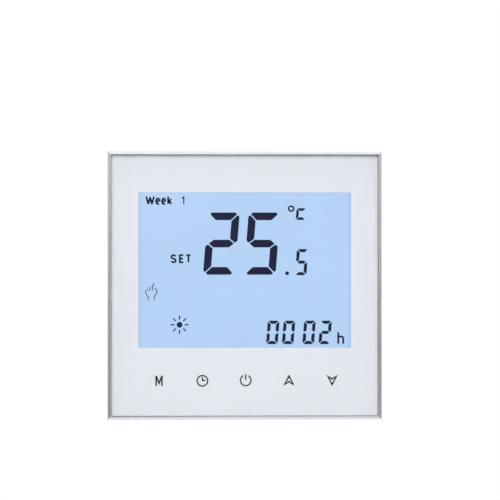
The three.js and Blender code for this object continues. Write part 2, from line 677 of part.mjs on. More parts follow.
function linkSocket() {
  const front = 0.9;
  const wellSide = 1.1;
  const body = block(LINK_WIDTH, LINK_DEPTH, [front, POWER_BOARD_DEPTH[0] - GAP], 0, LINK_Z);
  const wells = times(LINK_PINS, (i) =>
    block(wellSide, wellSide, [front - PAST, LINK_PIN_TIP + 1], linkPinX(i), LINK_Z),
  );
  return piece("link_socket", cut(body, ...wells), "blackPlastic");
}

function transformer() {
  const at = { x: -12, z: 12 };
  const width = 20;
  const foot = { height: 17, thick: 2 };
  const coreHeight = 6;
  const coreBack = 13;
  const coil = { width: 13, height: 15, corner: 2, back: 11.5 };
  const depth = (front, back) => [POWER_PARTS_FRONT + front, POWER_PARTS_FRONT + back];
  const bobbin = block(width, foot.height, depth(0, foot.thick), at.x, at.z);
  const core = block(width, coreHeight, depth(foot.thick - OVERLAP, coreBack), at.x, at.z);
  const coilDepth = depth(foot.thick - OVERLAP / 2, coil.back);
  const winding = plate(coil.width, coil.height, coil.corner, coilDepth, at.x, at.z);
  return piece("transformer", join(bobbin, core, winding), "yellowPlastic");
}

function relay() {
  const at = { x: 13, z: 13 };
  const size = { width: 18.5, height: 15.5, depth: 13 };
  const corner = 0.8;
  const depth = [POWER_PARTS_FRONT, POWER_PARTS_FRONT + size.depth];
  const body = plate(size.width, size.height, corner, depth, at.x, at.z, 2);
  return piece("relay", body, "bluePlastic");
}

/** A round can with a shoulder near its end, standing on the board. */
function smoothingCapacitor() {
  const x = 2;
  const radius = 4;
  const height = 11;
  const groove = 0.4; // deep, and half as wide as it opens
  const grooveStart = 1.2;
  const profile = [
    new THREE.Vector2(0, 0),
    new THREE.Vector2(radius, 0),
    new THREE.Vector2(radius, grooveStart),
    new THREE.Vector2(radius - groove, grooveStart + groove),
    new THREE.Vector2(radius, grooveStart + 2 * groove),
    new THREE.Vector2(radius, height - groove),
    new THREE.Vector2(radius - groove, height),
    new THREE.Vector2(0, height),
  ];
  const can = new THREE.LatheGeometry(profile, 24).translate(x, POWER_PARTS_FRONT, SMALL_PARTS_Z);
  return piece("smoothing_capacitor", toGeometry(toSolid(can)), "blackPlastic");
}

function filmCapacitor() {
  const x = -13;
  const size = { width: 13, height: 6, depth: 11 };
  const corner = 0.6;
  const depth = [POWER_PARTS_FRONT, POWER_PARTS_FRONT + size.depth];
  const body = plate(size.width, size.height, corner, depth, x, SMALL_PARTS_Z, 2);
  return piece("film_capacitor", body, "yellowPlastic");
}

function varistor() {
  const x = 12;
  const radius = 4.4;
  const thick = 3.6;
  const standOff = 1.5;
  const leadRadius = 0.4;
  const leadSpacing = 5;
  const leadDepth = [POWER_PARTS_FRONT, POWER_PARTS_FRONT + 5];
  const disc = new THREE.CylinderGeometry(radius, radius, thick, 24).rotateX(Math.PI / 2);
  disc.translate(x, POWER_PARTS_FRONT + radius + standOff, SMALL_PARTS_Z);
  const leads = [-leadSpacing / 2, leadSpacing / 2].map((dx) =>
    rod(leadRadius, leadDepth, x + dx, SMALL_PARTS_Z, 8),
  );
  return piece("varistor", join(disc, ...leads), "bluePlastic");
}

function fuse() {
  const x = 20.5;
  const radius = 3;
  const height = 8;
  const body = rod(radius, [POWER_PARTS_FRONT, POWER_PARTS_FRONT + height], x, SMALL_PARTS_Z, 20);
  return piece("fuse", body, "blackPlastic");
}

// ---------------------------------------------------------------- terminals

const TERMINAL_SCREW = { headRadius: 2.4, headHeight: 2, shankRadius: 1.5 };
const HEAD_REST = 23.6; // face under the screw head
const CAGE_WALL = 0.7;
const CAGE_WIDTH = 5.9;
const CAGE_LENGTH = 5; // along the wire
const CAGE_DEPTH = [11.7, 20]; // stored open
const CAGE_TOP_WALL = 1.1;
const CAGE_FLOOR = 0.9;
const CAGE_TRAVEL = 2.5;
const BAR_DEPTH = [17.7, 18.5];
const BAR_WIDTH = 3.6;
const RUNNING = 0.3; // clearance round what moves

/** The hollows of one pole: cage chamber, wire mouth, screw bore and the slots for the contact bar. */
function poleHollows(x) {
  const across = (half) => [x - half, x + half];
  const slotEnd = [POLE_Z, BAR_TAIL_Z + BAR_TAIL_THICK / 2 + RUNNING];
  const mouthHalf = 2.5;
  const chamber = box(
    across(CAGE_WIDTH / 2 + SLIP),
    [TERMINAL_FRONT - PAST, CAGE_DEPTH[1] + CAGE_TRAVEL + SLIP],
    [POLE_Z - CAGE_LENGTH / 2 - RUNNING, POLE_Z + CAGE_LENGTH / 2 + RUNNING],
  );
  const mouth = box(across(mouthHalf), [CAGE_DEPTH[0] + 0.5, BAR_DEPTH[0]], [TERMINAL_BOTTOM - PAST, POLE_Z]);
  const barSlot = box(across(BAR_WIDTH / 2 + RUNNING), [BAR_DEPTH[0] - SLIP, BAR_DEPTH[1] + SLIP], slotEnd);
  const tailSlot = box(across(BAR_TAIL_WIDTH / 2 + RUNNING), [TERMINAL_FRONT - PAST, BAR_DEPTH[1]], slotEnd);
  const headDepth = [HEAD_REST - GAP, BOX_BACK_Y + PAST];
  const shankDepth = [BAR_DEPTH[1], HEAD_REST + PAST];
  const headBore = rod(TERMINAL_SCREW.headRadius + RUNNING, headDepth, x, POLE_Z, 24);
  const shankBore = rod(TERMINAL_SCREW.shankRadius + RUNNING, shankDepth, x, POLE_Z, 20);
  return [chamber, mouth, barSlot, tailSlot, headBore, shankBore];
}

function terminalBlock() {
  const body = box(
    [-TERMINAL_WIDTH / 2, TERMINAL_WIDTH / 2],
    [TERMINAL_FRONT, BOX_BACK_Y],
    [TERMINAL_BOTTOM, TERMINAL_TOP],
  );
  const hollows = times(POLES, (i) => poleHollows(poleX(i))).flat();
  return piece("terminal_block", cut(body, ...hollows), "greenPlastic");
}

/** Head at the back, so that the installer turns it before the thermostat goes on the wall. */
function terminalScrew(i) {
  const { headRadius, headHeight, shankRadius } = TERMINAL_SCREW;
  const x = poleX(i);
  const headBack = HEAD_REST + headHeight;
  const slotWidth = 0.8;
  const slotDepth = 0.9;
  const slotAngle = Math.PI / 5;
  const head = rod(headRadius, [HEAD_REST, headBack], x, POLE_Z, 24, headRadius * 0.9);
  const shank = rod(shankRadius, [BAR_DEPTH[1] + SLIP, HEAD_REST + 0.3], x, POLE_Z, 16);
  const slot = block(2 * headRadius + PAST, slotWidth, [headBack - slotDepth, headBack + PAST]);
  slot.rotateY(slotAngle).translate(x, 0, POLE_Z);
  return piece(`terminal_screw_${i + 1}`, cut(join(head, shank), slot), "steel");
}

function clampCage(i) {
  const x = poleX(i);
  const outer = block(CAGE_WIDTH, CAGE_LENGTH, CAGE_DEPTH, x, POLE_Z);
  const inside = [CAGE_DEPTH[0] + CAGE_FLOOR, CAGE_DEPTH[1] - CAGE_TOP_WALL];
  const wireWay = block(CAGE_WIDTH - 2 * CAGE_WALL, CAGE_LENGTH + 2 * PAST, inside, x, POLE_Z);
  const threadRadius = TERMINAL_SCREW.shankRadius + 0.15;
  const thread = rod(threadRadius, [inside[0] + 1, CAGE_DEPTH[1] + PAST], x, POLE_Z, 20);
  return piece(`clamp_cage_${i + 1}`, cut(outer, wireWay, thread), "steel");
}

/** Flat bar through the cage, bent down into a tail that is soldered into the power board. */
function contactBar(i) {
  const x = poleX(i);
  const tailUp = [BAR_TAIL_Z - BAR_TAIL_THICK / 2, BAR_TAIL_Z + BAR_TAIL_THICK / 2];
  const tailEnd = POWER_BOARD_DEPTH[0] - 0.8;
  const bar = box([x - BAR_WIDTH / 2, x + BAR_WIDTH / 2], BAR_DEPTH, [POLE_Z - CAGE_LENGTH / 2, tailUp[1]]);
  const tailAcross = [x - BAR_TAIL_WIDTH / 2, x + BAR_TAIL_WIDTH / 2];
  const tail = box(tailAcross, [tailEnd, BAR_DEPTH[0] + OVERLAP], tailUp);
  return piece(`contact_bar_${i + 1}`, join(bar, tail), "brass");
}

// ---------------------------------------------------------------- the whole thermostat

const displayUnit = new THREE.Group();
displayUnit.add(
  trimFrame(),
  frontGlass(),
  printFilm(),
  lcdPanel(),
  lcdHolder(),
  lightGuide(),
  reflectorSheet(),
  ledBar(),
  zebraStrip(),
  displayBoard(),
  ...boardScrews(),
  ...times(KEY_COUNT, touchSpring),
  microcontroller(),
  wifiModule(),
  buzzer(),
  clockCell(),
  roomSensor(),
  linkHeader(),
  rearHousing(),
);

const wallUnit = new THREE.Group();
wallUnit.add(
  mountingPlate(),
  powerBox(),
  powerBoxLid(),
  ...boxScrews(),
  powerBoard(),
  linkSocket(),
  transformer(),
  relay(),
  smoothingCapacitor(),
  filmCapacitor(),
  varistor(),
  fuse(),
  terminalBlock(),
  ...times(POLES, terminalScrew),
  ...times(POLES, clampCage),
  ...times(POLES, contactBar),
);

const thermostat = new THREE.Group();
thermostat.add(displayUnit, wallUnit);

export default thermostat;
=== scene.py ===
"""Wall thermostat with a touch glass front: fine shapes, finishes, display, printed keys and studio."""

from math import cos, pi, radians, sin, tan

import bmesh
import bpy
from bpy.props import FloatProperty, FloatVectorProperty, PointerProperty, StringProperty
from mathutils import Matrix, Vector


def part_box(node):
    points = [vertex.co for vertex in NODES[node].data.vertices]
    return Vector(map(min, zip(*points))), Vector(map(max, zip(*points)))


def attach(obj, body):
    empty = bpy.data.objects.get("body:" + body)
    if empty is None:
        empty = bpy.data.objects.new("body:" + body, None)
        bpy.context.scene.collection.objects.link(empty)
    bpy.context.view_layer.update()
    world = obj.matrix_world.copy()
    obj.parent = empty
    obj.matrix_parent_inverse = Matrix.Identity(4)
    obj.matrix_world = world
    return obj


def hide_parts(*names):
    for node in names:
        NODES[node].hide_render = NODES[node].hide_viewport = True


bl_info = {
    "name": "Wall Thermostat",
    "version": (1, 0, 0),
    "blender": (4, 5, 0),
    "location": "3D View > Sidebar > Thermostat",
    "description": "Builds the finished look of a touch glass wall thermostat round its frame",
    "category": "Object",
}

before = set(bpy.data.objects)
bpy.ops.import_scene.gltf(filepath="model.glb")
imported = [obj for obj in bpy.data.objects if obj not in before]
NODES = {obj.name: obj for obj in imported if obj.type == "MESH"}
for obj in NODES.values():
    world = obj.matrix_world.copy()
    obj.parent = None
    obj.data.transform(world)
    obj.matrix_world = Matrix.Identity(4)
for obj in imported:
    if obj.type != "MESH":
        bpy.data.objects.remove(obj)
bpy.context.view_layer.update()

MM = 0.001
POLES = 6
KEYS = 5
FACE_LOW, FACE_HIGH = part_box("trim_frame")
GLASS_LOW, GLASS_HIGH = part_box("front_glass")
LCD_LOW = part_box("lcd_panel")[0]

PER_MM = (1 / MM, 1 / MM, 1 / MM)  # a pattern's scale, for coordinates in millimetres
GRAIN_LOW, GRAIN_HIGH = 0.3, 0.7  # nearly all of a noise pattern lies between these
SHADER = "Principled BSDF"


def linear(code):
    """The linear RGBA of an sRGB colour written as six hex digits."""
    parts = [int(code[i : i + 2], 16) / 255 for i in (0, 2, 4)]
    return [p / 12.92 if p <= 0.04045 else ((p + 0.055) / 1.055) ** 2.4 for p in parts] + [1.0]


# ---------------- settings


class FrontSettings(bpy.types.PropertyGroup):
    edge_bevel: FloatProperty(
        name="Edge bevel",
        description="Width of the bright bevel along the frame's outer front edge",
        default=0.8 * MM,
        unit="LENGTH",
    )
    glass_bevel: FloatProperty(
        name="Glass bevel",
        description="Width of the ground edge of the glass",
        default=0.08 * MM,
        unit="LENGTH",
    )
    key_pitch: FloatProperty(
        name="Key pitch",
        description="Distance between the printed keys",
        default=13.92 * MM,
        unit="LENGTH",
    )
    print_color: FloatVectorProperty(
        name="Print",
        description="Colour of the print behind the glass",
        subtype="COLOR",
        default=linear("E4E5EB")[:3],
    )
    key_color: FloatVectorProperty(
        name="Keys",
        description="Colour of the printed keys",
        subtype="COLOR",
        default=linear("1C1E27")[:3],
    )


class DisplaySettings(bpy.types.PropertyGroup):
    degrees: StringProperty(name="Degrees", description="Whole degrees in large digits", default="25")
    tenths: StringProperty(name="Tenths", description="Digit after the point", default="5")
    timer: StringProperty(name="Timer", description="Hours in the lower right corner", default="0002")
    back_color: FloatVectorProperty(
        name="Backlight",
        description="Colour of the lit display",
        subtype="COLOR",
        default=linear("B3D1F4")[:3],
    )
    brightness: FloatProperty(
        name="Brightness",
        description="Strength of the backlight",
        default=0.95,
        min=0,
    )
    segment_color: FloatVectorProperty(
        name="Segments",
        description="Colour of the dark segments",
        subtype="COLOR",
        default=linear("080F30")[:3],
    )


class StudioSettings(bpy.types.PropertyGroup):
    distance: FloatProperty(
        name="Camera distance",
        description="From the camera to the thermostat's face",
        default=0.5,
        unit="LENGTH",
    )
    azimuth: FloatProperty(
        name="Camera azimuth",
        description="Turn of the camera round the thermostat",
        default=radians(-1.5),
        subtype="ANGLE",
    )
    view_width: FloatProperty(
        name="View width",
        description="Width of what the camera sees at the thermostat's face",
        default=160.3 * MM,
        unit="LENGTH",
    )
    floor_drop: FloatProperty(
        name="Floor",
        description="How far the floor lies below the thermostat",
        default=0.45,
        unit="LENGTH",
    )


# ---------------- node helpers


def add(tree, kind, inputs=None, ramp=None, **settings):
    """Adds a node. Settings are its own properties; inputs give a value or another node's output by socket;
    ramp is a list of (position, hex colour)."""
    made = tree.nodes.new(kind)
    for name, value in settings.items():
        setattr(made, name, value)
    for socket, value in (inputs or {}).items():
        if isinstance(value, bpy.types.NodeSocket):
            tree.links.new(value, made.inputs[socket])
        else:
            made.inputs[socket].default_value = value
    if ramp:
        stops = made.color_ramp.elements
        while len(stops) < len(ramp):
            stops.new(1.0)
        for stop, (position, code) in zip(stops, ramp):
            stop.position = position
            stop.color = linear(code)
    return made


def new_material(name, **shader_values):
    """A material with values set on its Principled shader, and its node tree."""
    material = bpy.data.materials.new(name)
    material.use_nodes = True
    tree = material.node_tree
    for socket, value in shader_values.items():
        tree.nodes[SHADER].inputs[socket.replace("_", " ")].default_value = value
    return material, tree


def grain(tree, size, stretch=(1, 1, 1), detail=2.0):
    """Noise in the piece's own coordinates, with grains about `size` millimetres across."""
    where = add(tree, "ShaderNodeTexCoord")
    scale = [s / (size * MM) for s in stretch]
    placed = add(tree, "ShaderNodeMapping", {"Vector": where.outputs["Object"], "Scale": scale})
    noise = add(tree, "ShaderNodeTexNoise", {"Vector": placed.outputs[0], "Scale": 1.0, "Detail": detail})
    return noise.outputs["Fac"]


def surface(tree, color=None, span=(GRAIN_LOW, GRAIN_HIGH), tint=None, roughness=None, relief=None):
    """Drives the shader from patterns. color is (pattern, hex colour, hex colour), which change over at span;
    tint is (pattern, linear colour, linear colour), roughness is (pattern, low, high) and relief is
    (pattern, millimetres)."""
    shader = tree.nodes[SHADER]
    if color:
        pattern, first, second = color
        ramp = [(span[0], first), (span[1], second)]
        made = add(tree, "ShaderNodeValToRGB", {"Fac": pattern}, ramp=ramp)
        tree.links.new(made.outputs["Color"], shader.inputs["Base Color"])
    if tint:
        pattern, first, second = tint
        made = add(
            tree,
            "ShaderNodeMix",
            {"Factor": pattern, "A": [*first, 1], "B": [*second, 1]},
            data_type="RGBA",
        )
        tree.links.new(made.outputs["Result"], shader.inputs["Base Color"])
    if roughness:
        pattern, low, high = roughness
        made = add(
            tree,
            "ShaderNodeMapRange",
            {"Value": pattern, "From Min": GRAIN_LOW, "From Max": GRAIN_HIGH, "To Min": low, "To Max": high},
        )
        tree.links.new(made.outputs["Result"], shader.inputs["Roughness"])
    if relief:
        pattern, height = relief
        made = add(tree, "ShaderNodeBump", {"Height": pattern, "Distance": height * MM})
        tree.links.new(made.outputs["Normal"], shader.inputs["Normal"])


# ---------------- materials of the front


def anodised_aluminium():
    """Aluminium strip, brushed along its length and clear anodised: soft streaks that turn at the mitres,
    drawn about 0.1 mm wide so that they show."""
    material, tree = new_material("anodised_aluminium_brushed", Metallic=1.0)
    where = add(tree, "ShaderNodeTexCoord")
    axes = add(tree, "ShaderNodeSeparateXYZ", {"Vector": where.outputs["Object"]})
    across = add(tree, "ShaderNodeMath", {0: axes.outputs["X"]}, operation="ABSOLUTE")
    up = add(tree, "ShaderNodeMath", {0: axes.outputs["Z"]}, operation="ABSOLUTE")
    beyond = add(tree, "ShaderNodeMath", {0: across.outputs[0], 1: up.outputs[0]}, operation="SUBTRACT")
    mitre = FACE_HIGH.x - FACE_HIGH.z
    upright = add(tree, "ShaderNodeMath", {0: beyond.outputs[0], 1: mitre}, operation="GREATER_THAN")
    level_strip = grain(tree, 0.12, stretch=(0.02, 1, 1), detail=3)
    upright_strip = grain(tree, 0.12, stretch=(1, 1, 0.02), detail=3)
    mixed = add(
        tree,
        "ShaderNodeMix",
        {"Factor": upright.outputs[0], "A": level_strip, "B": upright_strip},
        data_type="FLOAT",
    )
    streaks = mixed.outputs[0]
    surface(
        tree,
        color=(streaks, "C0C3C7", "C7C9CD"),
        roughness=(streaks, 0.25, 0.29),
        relief=(streaks, 0.001),
    )
    return material


def float_glass():
    """Toughened low-iron float glass: clear, polished, and very slightly wavy from the rollers."""
    material, tree = new_material(
        "float_glass_polished",
        Base_Color=linear("FCFDFD"),
        Roughness=0.02,
        IOR=1.5,
        Transmission_Weight=1.0,
    )
    surface(tree, relief=(grain(tree, 18), 0.003))
    lets_light_in = add(tree, "ShaderNodeBsdfTransparent", {"Color": linear("FCFDFD")})
    path = add(tree, "ShaderNodeLightPath")
    mix = add(
        tree,
        "ShaderNodeMixShader",
        {0: path.outputs["Is Shadow Ray"], 1: tree.nodes[SHADER].outputs[0], 2: lets_light_in.outputs[0]},
    )
    tree.links.new(mix.outputs[0], tree.nodes["Material Output"].inputs["Surface"])
    return material


def screen_printed_white(color):
    """Cool white ink printed on the film behind the glass: flat and even, with a trace of mottle."""
    material, tree = new_material("screen_printed_white_ink", IOR=1.48)
    thin = [c * 0.985 for c in color]
    surface(tree, tint=(grain(tree, 6), thin, color), roughness=(grain(tree, 0.15), 0.45, 0.6))
    return material


def printed_key_ink(color):
    """Dark grey ink printed on the back of the glass: matt, with a fine ragged grain."""
    material, tree = new_material("screen_printed_grey_ink", Specular_IOR_Level=0.2)
    mottle = grain(tree, 0.12)
    thin = [c * 1.35 for c in color]
    surface(tree, tint=(mottle, color, thin), roughness=(mottle, 0.5, 0.7))
    return material


def segment_dye(color):
    """A switched segment of the display: nearly black navy, with the polariser's faint unevenness."""
    material, tree = new_material("display_segment_dark", Specular_IOR_Level=0.15)
    mottle = grain(tree, 0.8)
    paler = [c * 1.5 for c in color]
    surface(tree, tint=(mottle, color, paler), roughness=(mottle, 0.4, 0.5))
    return material


def lit_display(color, brightness):
    """Polarised display glass over a blue-white backlight: an even glow, with painted shade in a thin strip
    at each side of the window, greyer at the left edge and slightly violet at the right edge."""
    material, tree = new_material(
        "polarised_display_backlit",
        Base_Color=linear("3E4A5C"),
        Emission_Strength=brightness,
    )
    where = add(tree, "ShaderNodeTexCoord")
    axes = add(tree, "ShaderNodeSeparateXYZ", {"Vector": where.outputs["Object"]})
    across = add(
        tree,
        "ShaderNodeMapRange",
        {"Value": axes.outputs["X"], "From Min": -WINDOW_HALF_WIDTH, "From Max": WINDOW_HALF_WIDTH},
    )
    # painted shade: the glow turns greyer in a thin strip at the window's left edge and violet at its right
    # edge, standing in for the shade of the window's side walls
    edges = add(
        tree,
        "ShaderNodeValToRGB",
        {"Fac": across.outputs["Result"]},
        ramp=[(0.012, "FCFAF4"), (0.018, "FFFFFF"), (0.982, "FFFFFF"), (0.988, "F6F4FC")],
    )
    tinted = add(
        tree,
        "ShaderNodeMix",
        {"Factor": 1.0, "A": edges.outputs["Color"], "B": [*color, 1]},
        data_type="RGBA",
        blend_type="MULTIPLY",
    )
    unevenness = 0.015
    cloud = add(
        tree,
        "ShaderNodeMapRange",
        {
            "Value": grain(tree, 25),
            "From Min": GRAIN_LOW,
            "From Max": GRAIN_HIGH,
            "To Min": 1 - unevenness,
            "To Max": 1 + unevenness,
        },
    )
    glow = add(
        tree,
        "ShaderNodeVectorMath",
        {0: tinted.outputs["Result"], "Scale": cloud.outputs["Result"]},
        operation="SCALE",
    )
    tree.links.new(glow.outputs["Vector"], tree.nodes[SHADER].inputs["Emission Color"])
    surface(tree, roughness=(grain(tree, 0.1), 0.3, 0.4))
    return material


# ---------------- materials of mouldings, boards and metal


def moulded(name, code, darker, grit, low, high, relief=0.02):
    """A moulded plastic: an even colour with slight flow marks, and the grain that the mould's spark
    erosion leaves, `grit` millimetres across."""
    material, tree = new_material(name, IOR=1.5)
    texture = grain(tree, grit, detail=3)
    surface(
        tree,
        color=(grain(tree, 12), darker, code),
        roughness=(texture, low, high),
        relief=(texture, relief),
    )
    return material


def plated_steel(name="zinc_plated_steel_pressed", dark="ABAEB2", light="C1C4C8"):
    """Sheet steel, pressed and bright zinc plated: cloudy grey-blue spangle and a fine rolled grain."""
    material, tree = new_material(name, Metallic=1.0)
    clouds = grain(tree, 3.5, detail=4)
    rolled = grain(tree, 0.25, stretch=(0.06, 1, 1), detail=3)
    surface(tree, color=(clouds, dark, light), roughness=(clouds, 0.26, 0.42), relief=(rolled, 0.006))
    return material


def stamped_brass():
    """Half-hard brass strip, stamped: warm yellow with drag lines and a little tarnish."""
    material, tree = new_material("brass_strip_stamped", Metallic=1.0)
    tarnish = grain(tree, 1.2, detail=4)
    drag = grain(tree, 0.15, stretch=(1, 0.08, 1))
    surface(
        tree,
        color=(tarnish, "A98443", "D6B76C"),
        roughness=(tarnish, 0.24, 0.4),
        relief=(drag, 0.005),
    )
    return material


def tinned_copper():
    """Solder-dipped legs and pins: bright grey, slightly lumpy."""
    material, tree = new_material("tinned_copper_dipped", Metallic=1.0)
    lumps = grain(tree, 1.5)
    surface(
        tree,
        color=(lumps, "B9BBBD", "DADBDB"),
        roughness=(lumps, 0.22, 0.38),
        relief=(lumps, 0.005),
    )
    return material


def solder_mask(name="glass_epoxy_board_solder_masked", mask="0D4427", track="2C7A4C"):
    """Glass epoxy board under solder mask. Its tracks show as paler runs, level in some patches and upright
    in others, 0.4 mm wide, about twice the real width, so that they can be seen."""
    material, tree = new_material(name, IOR=1.5)
    where = add(tree, "ShaderNodeTexCoord")
    runs = []
    for roll in (0, pi / 2):
        flat = add(
            tree,
            "ShaderNodeMapping",
            {"Vector": where.outputs["Object"], "Rotation": (pi / 2, 0, roll), "Scale": PER_MM},
        )
        rows = add(
            tree,
            "ShaderNodeTexBrick",
            {
                "Vector": flat.outputs[0],
                "Scale": 1.0,
                "Mortar Size": 0.2,
                "Mortar Smooth": 0.2,
                "Brick Width": 24.0,
                "Row Height": 1.5,
            },
            offset=0.37,
            squash=1.6,
        )
        runs.append(rows.outputs["Fac"])
    patch_size = 10
    patches = add(tree, "ShaderNodeTexVoronoi", {"Vector": flat.outputs[0], "Scale": 1 / patch_size})
    upright = add(tree, "ShaderNodeMath", {0: patches.outputs["Color"], 1: 0.5}, operation="GREATER_THAN")
    crossed = add(
        tree,
        "ShaderNodeMix",
        {"Factor": upright.outputs[0], "A": runs[0], "B": runs[1]},
        data_type="FLOAT",
    )
    covered = add(tree, "ShaderNodeMath", {0: grain(tree, 7), 1: 0.46}, operation="GREATER_THAN")
    made = add(tree, "ShaderNodeMath", {0: crossed.outputs[0], 1: covered.outputs[0]}, operation="MULTIPLY")
    copper = made.outputs[0]
    surface(
        tree,
        color=(copper, mask, track),
        span=(0.0, 1.0),
        roughness=(grain(tree, 0.4), 0.25, 0.38),
        relief=(copper, 0.03),
    )
    return material


def cut_board_edge():
    """The routed edge of a glass epoxy board: straw yellow with layered fibres."""
    material, tree = new_material("glass_epoxy_edge_routed")
    layers = grain(tree, 0.2, stretch=(0.1, 1, 0.1))
    surface(
        tree,
        color=(layers, "9C9355", "CBC489"),
        roughness=(layers, 0.6, 0.8),
        relief=(layers, 0.02),
    )
    return material


def contact_rubber():
    """Layered silicone connector: carbon-filled and clear layers, drawn at 0.5 mm so that they show."""
    material, tree = new_material("silicone_rubber_layered")
    layers = grain(tree, 0.5, stretch=(1, 0.02, 0.02), detail=0)
    bloom = grain(tree, 0.1)
    surface(tree, color=(layers, "1B1C1E", "5A5D61"), span=(0.45, 0.55), roughness=(bloom, 0.65, 0.8))
    return material


def milky_acrylic():
    """Moulded acrylic light guide: glossy and milky, with the dots that throw the light forward."""
    material, tree = new_material("acrylic_light_guide", IOR=1.49)
    where = add(tree, "ShaderNodeTexCoord")
    placed = add(tree, "ShaderNodeMapping", {"Vector": where.outputs["Object"], "Scale": PER_MM})
    made = add(tree, "ShaderNodeTexVoronoi", {"Vector": placed.outputs[0], "Scale": 1.0, "Randomness": 0.0})
    dots = made.outputs["Distance"]
    surface(tree, color=(dots, "FFFFFF", "E3EDF5"), span=(0.2, 0.35), roughness=(dots, 0.12, 0.3))
    return material


def wound_tape():
    """Polyester tape wound round a coil: yellow film with the edges of its turns showing."""
    material, tree = new_material("polyester_tape_wound", IOR=1.6)
    turns = grain(tree, 1.4, stretch=(0.1, 1, 0.1), detail=1)
    surface(
        tree,
        color=(turns, "C79A21", "E6C04A"),
        span=(0.35, 0.65),
        roughness=(turns, 0.2, 0.34),
        relief=(turns, 0.06),
    )
    return material


def dipped_epoxy(name, code, darker):
    """Powder epoxy that a component is dipped in: thick, glossy and dimpled."""
    material, tree = new_material(name, IOR=1.55)
    dimples = grain(tree, 0.9)
    surface(tree, color=(dimples, darker, code), roughness=(dimples, 0.2, 0.36), relief=(dimples, 0.06))
    return material


def sintered_ferrite():
    """Sintered ferrite core: dark grey, matt and faintly porous."""
    material, tree = new_material("ferrite_sintered")
    pores = grain(tree, 0.2, detail=4)
    surface(
        tree,
        color=(pores, "26272A", "3D3F43"),
        roughness=(pores, 0.55, 0.75),
        relief=(pores, 0.02),
    )
    return material


def matt_floor_paper():
    """The studio's white paper, with a trace of fibre. It glows faintly, as paper lit from below does."""
    material, tree = new_material(
        "studio_paper_white",
        Roughness=0.9,
        Emission_Color=linear("FFFFFF"),
        Emission_Strength=0.35,
    )
    surface(tree, color=(grain(tree, 4, detail=4), "EEEEEE", "F2F2F2"))
    return material


# ---------------- mesh helpers


def new_object(name, data):
    """An object in the scene that shows a mesh, a light or a camera."""
    made = bpy.data.objects.new(name, data)
    bpy.context.scene.collection.objects.link(made)
    return made


def mesh_object(bm, name, *materials):
    """Makes a bmesh an object, and frees the bmesh."""
    mesh = bpy.data.meshes.new(name)
    bm.to_mesh(mesh)
    bm.free()
    for material in materials:
        mesh.materials.append(material)
    return new_object(name, mesh)


def place_piece(bm, name, body, slot, *materials):
    """Makes a bmesh an object that rides on a body."""
    piece = mesh_object(bm, name, *materials)
    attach(piece, body)
    return piece


def edges_where(bm, test):
    """The edges whose two ends both pass a test."""
    return [e for e in bm.edges if all(test(v.co) for v in e.verts)]


def bevel(bm, edges, width, segments=2):
    """Rounds edges and gives the new faces."""
    made = bmesh.ops.bevel(
        bm,
        geom=edges,
        offset=width,
        offset_type="OFFSET",
        segments=segments,
        profile=0.5,
        affect="EDGES",
        clamp_overlap=True,
        material=-1,
    )
    return made["faces"]


def cuboid(bm, low, high):
    """A box between two corners."""
    size = high - low
    place = Matrix.Translation((low + high) / 2) @ Matrix.Diagonal((*size, 1))
    bmesh.ops.create_cube(bm, size=1.0, matrix=place)


def face_towards(bm, direction):
    """The face that lies furthest along a direction."""
    return max(bm.faces, key=lambda f: f.calc_center_median().dot(direction))


def soften(node, width):
    """A bmesh of a CAD node with its flat faces made whole and its edges rounded by `width`. Edges that
    fold less than `curve` belong to a round surface and are shaded smooth instead."""
    flat = radians(0.5)
    curve = radians(25)
    bm = bmesh.new()
    bm.from_mesh(NODES[node].data)
    bmesh.ops.remove_doubles(bm, verts=bm.verts, dist=1e-6)
    bmesh.ops.dissolve_limit(bm, angle_limit=flat, verts=bm.verts, edges=bm.edges, delimit=set())
    for face in bm.faces:
        face.smooth = False
    joined = [e for e in bm.edges if len(e.link_faces) == 2]
    for edge in joined:
        if flat < edge.calc_face_angle(0) <= curve:
            for face in edge.link_faces:
                face.smooth = True
    sharp = [e for e in joined if e.calc_face_angle(0) > curve]
    for face in bevel(bm, sharp, width):
        face.smooth = True
    return bm


def soften_piece(node, name, body, slot, width, *materials):
    """A finer piece in the place of a CAD node."""
    piece = place_piece(soften(node, width), name, body, slot, *materials)
    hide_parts(node)
    return piece


def finish_node(node, *materials, choose=None):
    """Gives a CAD node its materials; choose(centre, normal) picks which one a face takes."""
    mesh = NODES[node].data
    mesh.materials.clear()
    for material in materials:
        mesh.materials.append(material)
    if choose:
        for face in mesh.polygons:
            face.material_index = choose(face.center, face.normal)


def slab(bm, outline, depth, rounding=0.0):
    """A thin flat shape in the plane of the face, from (x, z) points in millimetres. Depth is its front
    and back."""
    points = round_corners(outline, rounding) if rounding else outline
    face = bm.faces.new([bm.verts.new((x * MM, depth[0], z * MM)) for x, z in points])
    thicken(bm, [face], depth)


def round_corners(outline, radius):
    """The outline with three points on a small curve in place of each corner."""
    rounded = []
    count = len(outline)
    for i in range(count):
        before, corner, after = (Vector(outline[(i + k) % count]) for k in (-1, 0, 1))
        start = corner + (before - corner).normalized() * radius
        end = corner + (after - corner).normalized() * radius
        rounded += [start, (start + 2 * corner + end) / 4, end]
    return [tuple(point) for point in rounded]


def thicken(bm, faces, depth):
    """Extrudes flat faces from their plane, the front of depth, to a closed slab."""
    made = bmesh.ops.extrude_face_region(bm, geom=faces)["geom"]
    moved = [v for v in made if isinstance(v, bmesh.types.BMVert)]
    bmesh.ops.translate(bm, verts=moved, vec=(0, depth[1] - depth[0], 0))


